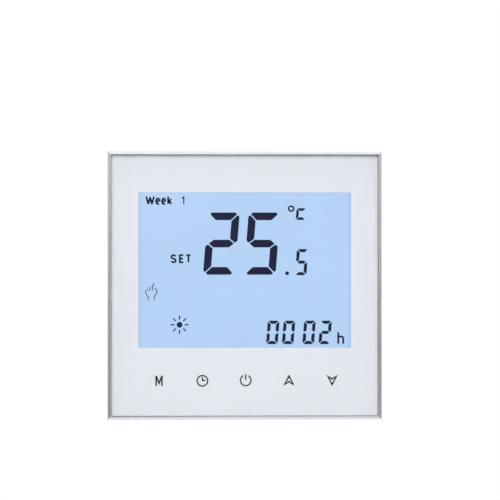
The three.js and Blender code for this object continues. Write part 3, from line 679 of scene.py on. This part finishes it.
def ribbon(bm, line, width, depth, closed=False):
    """A stroke of even width along (x, z) points in millimetres, mitred at its bends. The sharpest mitre
    reaches out to half the width over `sharpest`."""
    sharpest = 0.35
    points = [Vector(p) for p in line]
    count = len(points)
    sides = []
    for i, point in enumerate(points):
        before = points[i - 1] if i > 0 or closed else None
        after = points[(i + 1) % count] if i < count - 1 or closed else None
        into = (point - before).normalized() if before is not None else (after - point).normalized()
        out = (after - point).normalized() if after is not None else into
        along = (into + out).normalized()
        across = Vector((-along.y, along.x))
        reach = width / 2 / max(sharpest, across.dot(Vector((-into.y, into.x))))
        sides.append((point + across * reach, point - across * reach))
    left = [bm.verts.new((a.x * MM, depth[0], a.y * MM)) for a, _ in sides]
    right = [bm.verts.new((b.x * MM, depth[0], b.y * MM)) for _, b in sides]
    steps = range(count if closed else count - 1)
    faces = [bm.faces.new((left[i], left[(i + 1) % count], right[(i + 1) % count], right[i])) for i in steps]
    thicken(bm, faces, depth)


def arc(x, z, radius, start, end, steps=24):
    """Points along an arc, with angles in degrees from the +X side, turning towards +Z."""
    turns = [radians(start + (end - start) * i / steps) for i in range(steps + 1)]
    return [(x + radius * cos(a), z + radius * sin(a)) for a in turns]


def circle(x, z, radius, steps=24):
    """Points round a whole circle."""
    return arc(x, z, radius, 0, 360, steps)[:-1]


# ---------------- front: frame and glass

GLASS_CLEARANCE = 0.2 * MM
GLASS_CORNER = 0.4 * MM
SEAT_GAP = 0.1 * MM  # between the glass and the frame's seat behind it
THROAT = 0.8 * MM  # how far the seat reaches in behind the glass
WINDOW_HALF_WIDTH = 34.25 * MM
WINDOW_BOTTOM = -20 * MM
WINDOW_TOP = 30 * MM
KEY_DEPTH = (GLASS_HIGH.y + 0.003 * MM, GLASS_HIGH.y + 0.018 * MM)
PRINT_DEPTH = (GLASS_HIGH.y + 0.02 * MM, GLASS_HIGH.y + 0.045 * MM)
PRINT_MARGIN = 0.03 * MM


def outside_strip(edge, edge_bevel):
    """Whether an edge lies on the outer sides of the strip, up to the inner rim of its bright bevel."""
    reach = edge_bevel + 1e-5
    return all(abs(v.co.x) > FACE_HIGH.x - reach or abs(v.co.z) > FACE_HIGH.z - reach for v in edge.verts)


def trim_frame_shape(edge_bevel):
    """The mitred edge strip: a wall round the glass, a seat behind the glass and an open middle."""
    seat_width = GLASS_LOW.x - GLASS_CLEARANCE - FACE_LOW.x
    bm = bmesh.new()
    cuboid(bm, FACE_LOW, FACE_HIGH)
    front = face_towards(bm, Vector((0, -1, 0)))
    bmesh.ops.inset_region(bm, faces=[front], thickness=seat_width, use_even_offset=True)
    seat = bmesh.ops.extrude_discrete_faces(bm, faces=[front])["faces"][0]
    bmesh.ops.translate(bm, verts=seat.verts[:], vec=(0, GLASS_HIGH.y + SEAT_GAP - FACE_LOW.y, 0))
    bmesh.ops.inset_region(bm, faces=[seat], thickness=THROAT, use_even_offset=True)
    back = face_towards(bm, Vector((0, 1, 0)))
    bmesh.ops.inset_region(bm, faces=[back], thickness=seat_width + THROAT, use_even_offset=True)
    rims = [*seat.edges, *back.edges]
    bmesh.ops.delete(bm, geom=[seat, back], context="FACES_ONLY")
    bmesh.ops.bridge_loops(bm, edges=rims)

    is_front = lambda co: abs(co.y - FACE_LOW.y) < 1e-6
    is_outside = lambda co: abs(co.x) > FACE_HIGH.x - 1e-6 or abs(co.z) > FACE_HIGH.z - 1e-6
    outer = edges_where(bm, lambda co: is_front(co) and is_outside(co))
    inner = edges_where(bm, lambda co: is_front(co) and not is_outside(co))
    bevel(bm, outer, edge_bevel, 1)
    for face in bevel(bm, inner, 0.08 * MM):
        face.smooth = True
    folded = [e for e in bm.edges if e.calc_face_angle(0) > radians(30)]
    creases = [e for e in folded if outside_strip(e, edge_bevel)]
    for face in bevel(bm, creases, 0.06 * MM):
        face.smooth = True
    bmesh.ops.recalc_face_normals(bm, faces=bm.faces)
    return bm


def glass_print_shape():
    """The layer of white ink on the back of the glass, out to its edges, open over the display."""
    left, right = GLASS_LOW.x + PRINT_MARGIN, GLASS_HIGH.x - PRINT_MARGIN
    bottom, top = GLASS_LOW.z + PRINT_MARGIN, GLASS_HIGH.z - PRINT_MARGIN
    bm = bmesh.new()
    across = (left, -WINDOW_HALF_WIDTH, WINDOW_HALF_WIDTH, right)
    up = (bottom, WINDOW_BOTTOM, WINDOW_TOP, top)
    corners = [[bm.verts.new((x, PRINT_DEPTH[0], z)) for x in across] for z in up]
    faces = [
        bm.faces.new((corners[j][i], corners[j][i + 1], corners[j + 1][i + 1], corners[j + 1][i]))
        for j in range(3)
        for i in range(3)
        if (i, j) != (1, 1)
    ]
    thicken(bm, faces, PRINT_DEPTH)
    bmesh.ops.recalc_face_normals(bm, faces=bm.faces)
    return bm


class THERMOSTAT_OT_front(bpy.types.Operator):
    """Builds the metal edge, the glass and the print behind it"""

    bl_idname = "thermostat.front"
    bl_label = "Frame, glass and print"

    def execute(self, context):
        settings = context.scene.thermostat_front
        edge = place_piece(
            trim_frame_shape(settings.edge_bevel),
            "edge_strip",
            "display_unit",
            "bright_aluminium",
            anodised_aluminium(),
        )
        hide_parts("trim_frame")

        bm = bmesh.new()
        cuboid(bm, GLASS_LOW, GLASS_HIGH)
        uprights = [e for e in bm.edges if abs(e.verts[0].co.y - e.verts[1].co.y) > 1e-4]
        bevel(bm, uprights, GLASS_CORNER, 3)
        rims = [e for e in bm.edges if abs(e.verts[0].co.y - e.verts[1].co.y) < 1e-6]
        for face in bevel(bm, rims, settings.glass_bevel):
            face.smooth = True
        glass = place_piece(bm, "glass_pane", "display_unit", "clear_glass", float_glass())
        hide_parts("front_glass")

        white = screen_printed_white(settings.print_color)
        place_piece(glass_print_shape(), "glass_print", "display_unit", "white_print", white)
        finish_node("print_film", white)
        finish_node("reflector_sheet", white)
        return {"FINISHED"}


# ---------------- display

SEGMENT_DEPTH = (LCD_LOW.y - 0.04 * MM, LCD_LOW.y - 0.01 * MM)

SEGMENTS_LIT = {
    "0": "abcdef",
    "1": "bc",
    "2": "abdeg",
    "3": "abcdg",
    "4": "bcfg",
    "5": "acdfg",
    "6": "acdefg",
    "7": "abc",
    "8": "abcdefg",
    "9": "abcdfg",
    "C": "adl",
}

# What stands where on the display, in millimetres from the middle of the thermostat's face. `starts` is
# how far each digit stands from the first; a letter is given as (letter, left, right, height).
DEGREE_DIGITS = dict(
    left=-13.5, bottom=3.5, size=(10.25, 20.0), stroke=2.45, gap=0.36, starts=(0, 13.12), rounding=0.25
)
TENTHS_DIGIT = dict(left=16.1, bottom=3.35, size=(3.7, 8.4), stroke=1.0, gap=0.22, starts=(0,))
UNIT_LETTER = dict(left=16.35, bottom=21.15, size=(3.1, 3.75), stroke=0.85, gap=0.14, starts=(0,))
TIMER_DIGITS = dict(
    left=6.8, bottom=-18.85, size=(3.75, 7.55), stroke=1.02, gap=0.22, starts=(0, 5.1, 11.7, 16.9)
)
WEEK_WORD = dict(
    letters=[
        ("W", -32.0, -28.9, 3.0),
        ("e", -28.8, -27.1, 2.35),
        ("e", -26.9, -25.2, 2.35),
        ("k", -24.95, -23.3, 3.0),
    ],
    bottom=25.9,
    stroke=0.6,
)
DAY_NUMBER = dict(letters=[("1", -20.45, -19.45, 2.7)], bottom=25.95, stroke=0.38)
SET_WORD = dict(
    letters=[("S", -23.9, -21.95, 2.85), ("E", -21.2, -19.5, 2.85), ("T", -19.1, -17.2, 2.85)],
    bottom=7.2,
    stroke=0.58,
)
POINT_DISC = (13.6, 3.95, 0.62)
DEGREE_RING = (14.9, 24.75, 0.8)
DEGREE_STROKE = 0.54
HOUR_PLACE = (29.8, -18.75)
SUN_PLACE = (-21.0, -12.6)
HAND_PLACE = (-30.15, -1.95)
DIGIT_SLANT = 4.6  # degrees


def segment_outlines(width, height, stroke, gap):
    """The outlines of a digit's segments by letter, in millimetres from its lower left corner.
    Letter l is the whole left side in one piece."""
    middle = height / 2
    tip = stroke * 0.22  # the small bevel on a segment's outer corners
    nose = stroke / 3  # where a side segment's point stands at mid height
    slope = 0.8
    lift = gap * 0.7  # the part of a gap that each of its two segments gives
    end = tip + lift
    inner = end + stroke - tip
    top = [
        (end + tip, height),
        (width - end - tip, height),
        (width - end, height - tip),
        (width - inner, height - stroke),
        (inner, height - stroke),
        (end, height - tip),
    ]
    upper_right = [
        (width, height - end - tip),
        (width - tip, height - end),
        (width - stroke, height - inner),
        (width - stroke, middle + lift + (stroke - nose) * slope),
        (width - nose, middle + lift),
        (width, middle + lift + nose * slope),
    ]
    start = nose + lift
    reach = stroke / 2 / slope
    bar = [
        (start, middle),
        (start + reach, middle + stroke / 2),
        (width - start - reach, middle + stroke / 2),
        (width - start, middle),
        (width - start - reach, middle - stroke / 2),
        (start + reach, middle - stroke / 2),
    ]
    whole_left = [
        (0, height - end - tip),
        (tip, height - end),
        (stroke, height - inner),
        (stroke, inner),
        (tip, end),
        (0, end + tip),
    ]
    mirror = lambda outline: [(width - x, z) for x, z in outline]
    flip = lambda outline: [(x, height - z) for x, z in outline]
    return {
        "a": top,
        "b": upper_right,
        "c": flip(upper_right),
        "d": flip(top),
        "e": flip(mirror(upper_right)),
        "f": mirror(upper_right),
        "g": bar,
        "l": whole_left,
    }


def draw_digits(bm, text, left, bottom, size, stroke, gap, starts, rounding=0.0):
    """Slanted segment digits."""
    outlines = segment_outlines(*size, stroke, gap)
    lean = tan(radians(DIGIT_SLANT))
    for digit, start in zip(text, starts):
        for letter in SEGMENTS_LIT[digit]:
            outline = [(left + start + x + z * lean, bottom + z) for x, z in outlines[letter]]
            slab(bm, outline, SEGMENT_DEPTH, rounding)


def letter_lines(letter):
    """The strokes of a letter in a box one unit wide and one unit high; small letters fill it too."""
    if letter == "W":
        corners = [(0, 1), (0.27, 0), (0.5, 0.9), (0.73, 0), (1, 1)]
        return [[start, end] for start, end in zip(corners, corners[1:])]
    if letter == "e":
        bowl = [(0.5 + 0.5 * x, 0.5 + 0.5 * z) for x, z in arc(0, 0, 1, 0, 310, 20)]
        return [[(0.06, 0.5), (0.94, 0.5)], bowl]
    if letter == "k":
        return [[(0, 0), (0, 1)], [(0.9, 0.68), (0.05, 0.22)], [(0.3, 0.4), (1, 0)]]
    if letter == "S":
        upper = [(0.5 + 0.5 * x, 0.75 + 0.25 * z) for x, z in arc(0, 0, 1, 20, 270, 14)]
        lower = [(0.5 + 0.5 * x, 0.25 + 0.25 * z) for x, z in arc(0, 0, 1, 90, -160, 14)]
        return [upper + lower[1:]]
    if letter == "E":
        return [[(1, 1), (0, 1), (0, 0), (1, 0)], [(0, 0.52), (0.88, 0.52)]]
    if letter == "T":
        return [[(0, 1), (1, 1)], [(0.5, 1), (0.5, 0)]]
    if letter == "1":
        return [[(0, 0.8), (1, 1), (1, 0)]]
    raise ValueError(f"no strokes for {letter}")


def draw_word(bm, letters, bottom, stroke):
    """Letters that stand on one line."""
    half = stroke / 2
    for letter, left, right, height in letters:
        width = right - left - stroke
        rise = height - stroke
        for line in letter_lines(letter):
            placed = [(left + half + x * width, bottom + half + z * rise) for x, z in line]
            ribbon(bm, placed, stroke, SEGMENT_DEPTH)


def draw_sun(bm, x, z):
    """A sun: a thick ring with rays round it."""
    rays = 8
    ribbon(bm, circle(x, z, 0.5, 20), 0.86, SEGMENT_DEPTH, closed=True)
    for i in range(rays):
        turn = i * 2 * pi / rays
        ray = [(x + r * cos(turn), z + r * sin(turn)) for r in (1.65, 2.9)]
        ribbon(bm, ray, 0.4, SEGMENT_DEPTH)


def draw_hand(bm, x, z):
    """An open hand in thin lines: wrist, thumb side, three fingers and the far side."""
    lines = [
        [(-0.8, -2.7), (-0.8, -2.0), (-1.4, -1.0), (-1.8, -0.2), (-1.7, 0.35)],
        [(-1.2, 0.2), (-1.1, 1.0)],
        [(-0.4, 0.3), (-0.3, 1.6)],
        [(0.55, 0.4), (0.4, 1.0), (0.5, 1.9), (1.05, 2.7)],
        [(1.2, 1.2), (1.85, 0.35), (1.85, -0.45), (1.0, -1.6), (1.0, -2.7)],
    ]
    for line in lines:
        ribbon(bm, [(x + dx, z + dz) for dx, dz in line], 0.26, SEGMENT_DEPTH)


def hour_letter(bm, x, z):
    """A small h: a stem and an arch."""
    stroke = 0.62
    stem = x + 0.3
    right = x + 2.2 - stroke / 2
    top = z + 2.35
    bend = 0.7
    arch = [(stem, top - 0.1), (right - bend, top)] + arc(right - bend, top - bend, bend, 80, 0, 6)
    ribbon(bm, [(stem, z), (stem, z + 3.7)], stroke, SEGMENT_DEPTH)
    ribbon(bm, arch + [(right, z)], stroke, SEGMENT_DEPTH)


class THERMOSTAT_OT_display(bpy.types.Operator):
    """Lights the display and draws its digits, words and symbols"""

    bl_idname = "thermostat.display"
    bl_label = "Display"

    def execute(self, context):
        settings = context.scene.thermostat_display
        finish_node("lcd_panel", lit_display(settings.back_color, settings.brightness))
        dark = segment_dye(settings.segment_color)

        def finish(bm, name):
            bmesh.ops.recalc_face_normals(bm, faces=bm.faces)
            place_piece(bm, name, "display_unit", "display", dark)

        bm = bmesh.new()
        draw_digits(bm, settings.degrees, **DEGREE_DIGITS)
        finish(bm, "temperature_digits")

        bm = bmesh.new()
        slab(bm, circle(*POINT_DISC), SEGMENT_DEPTH)
        draw_digits(bm, settings.tenths, **TENTHS_DIGIT)
        finish(bm, "tenths_digit")

        bm = bmesh.new()
        ribbon(bm, circle(*DEGREE_RING), DEGREE_STROKE, SEGMENT_DEPTH, closed=True)
        draw_digits(bm, "C", **UNIT_LETTER)
        finish(bm, "degree_sign")

        bm = bmesh.new()
        draw_digits(bm, settings.timer, **TIMER_DIGITS)
        hour_letter(bm, *HOUR_PLACE)
        finish(bm, "timer_digits")

        bm = bmesh.new()
        draw_sun(bm, *SUN_PLACE)
        finish(bm, "sun_symbol")

        bm = bmesh.new()
        draw_hand(bm, *HAND_PLACE)
        finish(bm, "hand_symbol")

        bm = bmesh.new()
        draw_word(bm, **WEEK_WORD)
        draw_word(bm, **DAY_NUMBER)
        finish(bm, "week_word")

        bm = bmesh.new()
        draw_word(bm, **SET_WORD)
        finish(bm, "set_word")
        return {"FINISHED"}


# ---------------- printed keys

# Sizes of the keys' marks, in millimetres
KEY_STROKE = 0.44
KEY_BOLD_STROKE = 0.5
KEY_ROW_SHIFT = 0.27  # how far the row stands to the right of the middle


def key_mode(bm, x, z):
    """Capital M: two stems and the lines that meet between them."""
    half_width = 0.92
    foot, dip, top = z - 1.75, z - 0.9, z + 1.55
    for side in (-half_width, half_width):
        ribbon(bm, [(x + side, foot), (x + side, top)], KEY_BOLD_STROKE, KEY_DEPTH)
    ribbon(bm, [(x - half_width, top), (x, dip), (x + half_width, top)], 0.45, KEY_DEPTH)


def key_clock(bm, x, z):
    """A clock face: a ring with its hands at three o'clock."""
    ribbon(bm, circle(x, z - 0.1, 1.68, 40), KEY_STROKE, KEY_DEPTH, closed=True)
    ribbon(bm, [(x, z + 1.1), (x, z), (x + 1.0, z)], KEY_STROKE, KEY_DEPTH)


def key_power(bm, x, z):
    """A ring open at the top, with a stem in the gap."""
    ribbon(bm, arc(x, z, 1.7, 118, 422, 36), KEY_STROKE, KEY_DEPTH)
    ribbon(bm, [(x, z + 0.1), (x, z + 2.05)], KEY_STROKE, KEY_DEPTH)


def key_arrow(bm, x, z, way):
    """An outlined arrowhead with a notched base; way is 1 for up and -1 for down."""
    corners = [(0, 1.4), (1.4, -1.3), (0, -0.4), (-1.4, -1.3)]
    line = [(x + dx, z + dz * way) for dx, dz in corners]
    ribbon(bm, line, KEY_BOLD_STROKE, KEY_DEPTH, closed=True)


class THERMOSTAT_OT_keys(bpy.types.Operator):
    """Prints the five touch keys on the back of the glass"""

    bl_idname = "thermostat.keys"
    bl_label = "Printed keys"

    def execute(self, context):
        settings = context.scene.thermostat_front
        ink = printed_key_ink(settings.key_color)
        spring_low, spring_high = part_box("touch_spring_1")
        height = (spring_low.z + spring_high.z) / 2 / MM
        draws = [
            ("mode", key_mode),
            ("clock", key_clock),
            ("power", key_power),
            ("up", lambda bm, x, z: key_arrow(bm, x, z, 1)),
            ("down", lambda bm, x, z: key_arrow(bm, x, z, -1)),
        ]
        for i, (name, draw) in enumerate(draws):
            bm = bmesh.new()
            draw(bm, (i - (KEYS - 1) / 2) * settings.key_pitch / MM + KEY_ROW_SHIFT, height)
            bmesh.ops.recalc_face_normals(bm, faces=bm.faces)
            place_piece(bm, f"key_{name}", "display_unit", "white_print", ink)
        return {"FINISHED"}


# ---------------- mouldings


class THERMOSTAT_OT_mouldings(bpy.types.Operator):
    """Rounds and finishes the moulded shells and blocks"""

    bl_idname = "thermostat.mouldings"
    bl_label = "Mouldings"

    def execute(self, context):
        white = moulded("abs_moulded_white", "D5D7DA", "CFD1D5", 0.35, 0.42, 0.58)
        soften_piece("rear_housing", "housing_shell", "display_unit", "white_plastic", 0.2 * MM, white)
        soften_piece("lcd_holder", "display_holder", "display_unit", "white_plastic", 0.15 * MM, white)
        soften_piece("power_box", "power_box_shell", "wall_unit", "white_plastic", 0.3 * MM, white)
        soften_piece("power_box_lid", "power_box_cover", "wall_unit", "white_plastic", 0.2 * MM, white)

        green = moulded("polyamide_moulded_green", "2C7D4E", "256F45", 0.3, 0.38, 0.5)
        soften_piece("terminal_block", "terminal_body", "wall_unit", "green_plastic", 0.15 * MM, green)
        return {"FINISHED"}


# ---------------- metalwork


class THERMOSTAT_OT_metalwork(bpy.types.Operator):
    """Rounds and finishes the plate, the screws, the cages, the bars and the springs"""

    bl_idname = "thermostat.metalwork"
    bl_label = "Metalwork"

    def execute(self, context):
        steel = plated_steel()
        screw_steel = plated_steel("zinc_plated_steel_headed", "8E9297", "BDC0C4")
        spring_steel = plated_steel("spring_steel_nickel_plated", "A9A8A4", "CFCDC8")
        brass = stamped_brass()
        soften_piece("mounting_plate", "wall_plate", "wall_unit", "steel", 0.12 * MM, steel)
        for i in range(1, POLES + 1):
            screw = f"terminal_screw_{i}"
            soften_piece(screw, f"clamp_screw_{i}", f"screw_{i}", "steel", 0.1 * MM, screw_steel)
            soften_piece(f"clamp_cage_{i}", f"wire_cage_{i}", f"cage_{i}", "steel", 0.08 * MM, steel)
            soften_piece(f"contact_bar_{i}", f"current_bar_{i}", "wall_unit", "brass", 0.08 * MM, brass)
        for i in (1, 2):
            soften_piece(f"box_screw_{i}", f"lid_screw_{i}", "wall_unit", "steel", 0.1 * MM, screw_steel)
        for i in range(1, 5):
            soften_piece(f"board_screw_{i}", f"pan_screw_{i}", "display_unit", "steel", 0.1 * MM, screw_steel)
        for i in range(1, KEYS + 1):
            finish_node(f"touch_spring_{i}", spring_steel)
        return {"FINISHED"}


# ---------------- electronics


class THERMOSTAT_OT_electronics(bpy.types.Operator):
    """Finishes the boards and what is soldered to them"""

    bl_idname = "thermostat.electronics"
    bl_label = "Electronics"

    def execute(self, context):
        mask = solder_mask()
        edge = cut_board_edge()
        tin = tinned_copper()
        black = moulded("polyamide_moulded_black", "232528", "1B1D1F", 0.25, 0.4, 0.55)
        chip = moulded("epoxy_moulded_chip", "2A2C2F", "222426", 0.15, 0.5, 0.65, relief=0.01)
        white = moulded("polyester_moulded_white", "F0F0EC", "E6E6E0", 0.3, 0.4, 0.5)
        can = plated_steel("nickel_silver_can_pressed", "B3B2AC", "D2D1CB")

        board_face = lambda centre, normal: 0 if abs(normal.y) > 0.5 else 1
        for board in ("display_board", "power_board"):
            finish_node(board, mask, edge, choose=board_face)

        low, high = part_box("microcontroller")
        legs = 1.25 * MM
        on_body = lambda centre: low.x + legs < centre.x < high.x - legs
        finish_node("microcontroller", chip, tin, choose=lambda c, n: 0 if on_body(c) else 1)

        can_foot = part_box("wifi_module")[0].y + 0.95 * MM
        carrier = solder_mask("glass_epoxy_module_solder_masked", "16191D", "34393F")
        finish_node("wifi_module", carrier, can, choose=lambda c, n: 0 if c.y < can_foot else 1)
        finish_node("buzzer", black)
        finish_node("clock_cell", can)

        bead_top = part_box("room_sensor")[0].z + 3.0 * MM
        bead = dipped_epoxy("epoxy_dipped_black", "26282B", "18191B")
        finish_node("room_sensor", bead, tin, choose=lambda c, n: 0 if c.z < bead_top else 1)

        base_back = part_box("link_header")[0].y + 2.45 * MM
        finish_node("link_header", black, tin, choose=lambda c, n: 0 if c.y < base_back else 1)
        finish_node("link_socket", black)
        finish_node("light_guide", milky_acrylic())
        finish_node("zebra_strip", contact_rubber())

        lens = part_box("led_bar")[1].x - 0.95 * MM
        phosphor = dipped_epoxy("silicone_phosphor_lens", "F2E7A0", "E8D878")
        finish_node("led_bar", white, phosphor, choose=lambda c, n: 1 if c.x > lens else 0)

        finish_node("relay", moulded("polyester_moulded_blue", "2A5CA6", "244F90", 0.3, 0.3, 0.42))
        disc = dipped_epoxy("epoxy_dipped_blue", "2F63B5", "24529B")
        leads_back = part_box("varistor")[0].y + 1.6 * MM
        finish_node("varistor", disc, tin, choose=lambda c, n: 0 if c.y > leads_back else 1)
        finish_node("film_capacitor", dipped_epoxy("epoxy_potted_yellow", "D9B33A", "C79F2A"))
        finish_node("fuse", moulded("polyamide_moulded_brown", "3B2A22", "2F211A", 0.25, 0.4, 0.52))
        self.finish_transformer()
        self.finish_smoothing_capacitor()
        return {"FINISHED"}

    @staticmethod
    def finish_transformer():
        """Black bobbin foot, ferrite core across it and a taped winding."""
        low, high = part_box("transformer")
        middle = (low + high) / 2
        foot_back = low.y + 2.05 * MM
        core_half = 3.05 * MM
        coil_half = 6.55 * MM

        def part(centre, normal):
            if centre.y < foot_back:
                return 0
            over_coil = abs(centre.x - middle.x) < coil_half and abs(centre.z - middle.z) > core_half
            return 2 if over_coil else 1

        bobbin = moulded("phenolic_moulded_black", "2B2927", "201F1D", 0.25, 0.35, 0.5)
        finish_node("transformer", bobbin, sintered_ferrite(), wound_tape(), choose=part)

    @staticmethod
    def finish_smoothing_capacitor():
        """Shrunk sleeve round an aluminium can, whose end shows."""
        can_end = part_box("smoothing_capacitor")[1].y - 0.45 * MM
        sleeve = moulded("vinyl_sleeve_shrunk", "1F2A4A", "19223D", 1.2, 0.22, 0.32, relief=0.01)
        bare = plated_steel("aluminium_can_drawn", "B9BBBE", "D3D5D7")
        finish_node("smoothing_capacitor", sleeve, bare, choose=lambda c, n: 1 if c.y > can_end else 0)


# ---------------- studio


# Soft boxes that face the thermostat: name, place, side and power
LIGHTS = (
    ("key_light", (-0.25, -1.2, 0.5), 0.6, 4.1),
    ("fill_light", (0.6, -1.2, 0.2), 0.5, 1.3),
    ("top_light", (0, 0.05, 0.6), 0.5, 0.65),
    ("back_light", (0.8, 1.2, 0.9), 0.8, 3.0),
)
FLOOR_RADIUS = 2.0


def studio_world():
    """Soft white surroundings, with grey walls to the left and right that darken downwards and a dark
    wall behind the camera, so that bright edges get a shape and the glass stays clear."""
    surround = 0.75
    wall_foot, wall_head = 0.25, 1.05
    camera_wall = 0.07
    world = bpy.data.worlds.new("studio")
    world.use_nodes = True
    bpy.context.scene.world = world
    tree = world.node_tree
    background = tree.nodes["Background"]
    where = add(tree, "ShaderNodeTexCoord")
    axes = add(tree, "ShaderNodeSeparateXYZ", {"Vector": where.outputs["Generated"]})
    sideways = add(tree, "ShaderNodeMath", {0: axes.outputs["X"], 1: 2.0}, operation="POWER")
    wall = add(
        tree,
        "ShaderNodeMapRange",
        {
            "Value": axes.outputs["Z"],
            "From Min": -0.09,
            "From Max": 0.09,
            "To Min": wall_foot,
            "To Max": wall_head,
        },
    )
    sides = add(
        tree,
        "ShaderNodeMapRange",
        {
            "Value": sideways.outputs[0],
            "From Min": 0.1,
            "From Max": 0.75,
            "To Min": surround,
            "To Max": wall.outputs["Result"],
        },
    )
    front = add(
        tree,
        "ShaderNodeMapRange",
        {"Value": axes.outputs["Y"], "From Min": -0.985, "From Max": -0.93, "To Min": camera_wall},
    )
    tone = add(
        tree,
        "ShaderNodeMath",
        {0: sides.outputs["Result"], 1: front.outputs["Result"]},
        operation="MULTIPLY",
    )
    path = add(tree, "ShaderNodeLightPath")
    seen = add(
        tree,
        "ShaderNodeMix",
        {"Factor": path.outputs["Is Camera Ray"], "A": tone.outputs[0], "B": 1.0},
        data_type="FLOAT",
    )
    tree.links.new(seen.outputs[0], background.inputs["Strength"])
    background.inputs["Color"].default_value = (1, 1, 1, 1)


def aim(holder, place, target):
    """Stands a light or a camera at a place and turns it towards a target."""
    holder.location = place
    holder.rotation_euler = (target - place).to_track_quat("-Z", "Y").to_euler()


def soft_light(name, place, side, power):
    """A square soft box that faces the thermostat."""
    lamp = bpy.data.lights.new(name, "AREA")
    lamp.size = side
    lamp.energy = power
    aim(new_object(name, lamp), Vector(place), Vector())


def studio_camera(settings):
    """The camera looks at the face from straight ahead, a little from the left. The thermostat sits low
    and slightly left in the picture."""
    camera = bpy.data.cameras.new("camera")
    camera.sensor_width = 36.0
    camera.lens = camera.sensor_width * settings.distance / settings.view_width
    camera.shift_x = 1.6 * MM / settings.view_width
    camera.shift_y = 11.4 * MM / settings.view_width
    camera.clip_start = 0.01
    camera.clip_end = 50
    holder = new_object("camera", camera)
    face = Vector((0, FACE_LOW.y, 0))
    away = Vector((sin(settings.azimuth), -cos(settings.azimuth), 0))
    aim(holder, face + settings.distance * away, face)
    bpy.context.scene.camera = holder


def studio_floor(drop):
    """A round floor of white paper."""
    bm = bmesh.new()
    bmesh.ops.create_circle(bm, cap_ends=True, radius=FLOOR_RADIUS, segments=64)
    bmesh.ops.translate(bm, verts=bm.verts, vec=(0, 0, -drop))
    mesh_object(bm, "floor", matt_floor_paper())


class THERMOSTAT_OT_studio(bpy.types.Operator):
    """Sets the floor, the soft lights, the surroundings and the camera"""

    bl_idname = "thermostat.studio"
    bl_label = "Studio"

    def execute(self, context):
        settings = context.scene.thermostat_studio
        context.scene.view_settings.view_transform = "Standard"
        studio_floor(settings.floor_drop)
        studio_world()
        for light in LIGHTS:
            soft_light(*light)
        studio_camera(settings)
        return {"FINISHED"}


# ---------------- panel and start


class THERMOSTAT_PT_pieces(bpy.types.Panel):
    """Shows the thermostat's settings and the buttons of the steps that build it"""

    bl_idname = "THERMOSTAT_PT_pieces"
    bl_label = "Wall thermostat"
    bl_space_type = "VIEW_3D"
    bl_region_type = "UI"
    bl_category = "Thermostat"

    def draw(self, context):
        scene = context.scene
        for group in (scene.thermostat_front, scene.thermostat_display, scene.thermostat_studio):
            for name in group.__annotations__:
                self.layout.prop(group, name)
        for operator in STEPS:
            self.layout.operator(operator.bl_idname)


STEPS = (
    THERMOSTAT_OT_studio,
    THERMOSTAT_OT_front,
    THERMOSTAT_OT_display,
    THERMOSTAT_OT_keys,
    THERMOSTAT_OT_mouldings,
    THERMOSTAT_OT_metalwork,
    THERMOSTAT_OT_electronics,
)
CLASSES = (FrontSettings, DisplaySettings, StudioSettings, *STEPS, THERMOSTAT_PT_pieces)


def register():
    for cls in CLASSES:
        bpy.utils.register_class(cls)
    bpy.types.Scene.thermostat_front = PointerProperty(type=FrontSettings)
    bpy.types.Scene.thermostat_display = PointerProperty(type=DisplaySettings)
    bpy.types.Scene.thermostat_studio = PointerProperty(type=StudioSettings)


def unregister():
    del bpy.types.Scene.thermostat_studio
    del bpy.types.Scene.thermostat_display
    del bpy.types.Scene.thermostat_front
    for cls in reversed(CLASSES):
        bpy.utils.unregister_class(cls)


def main():
    register()
    bpy.ops.thermostat.studio()
    bpy.ops.thermostat.front()
    bpy.ops.thermostat.display()
    bpy.ops.thermostat.keys()
    bpy.ops.thermostat.mouldings()
    bpy.ops.thermostat.metalwork()
    bpy.ops.thermostat.electronics()


if __name__ == "__main__":
    main()
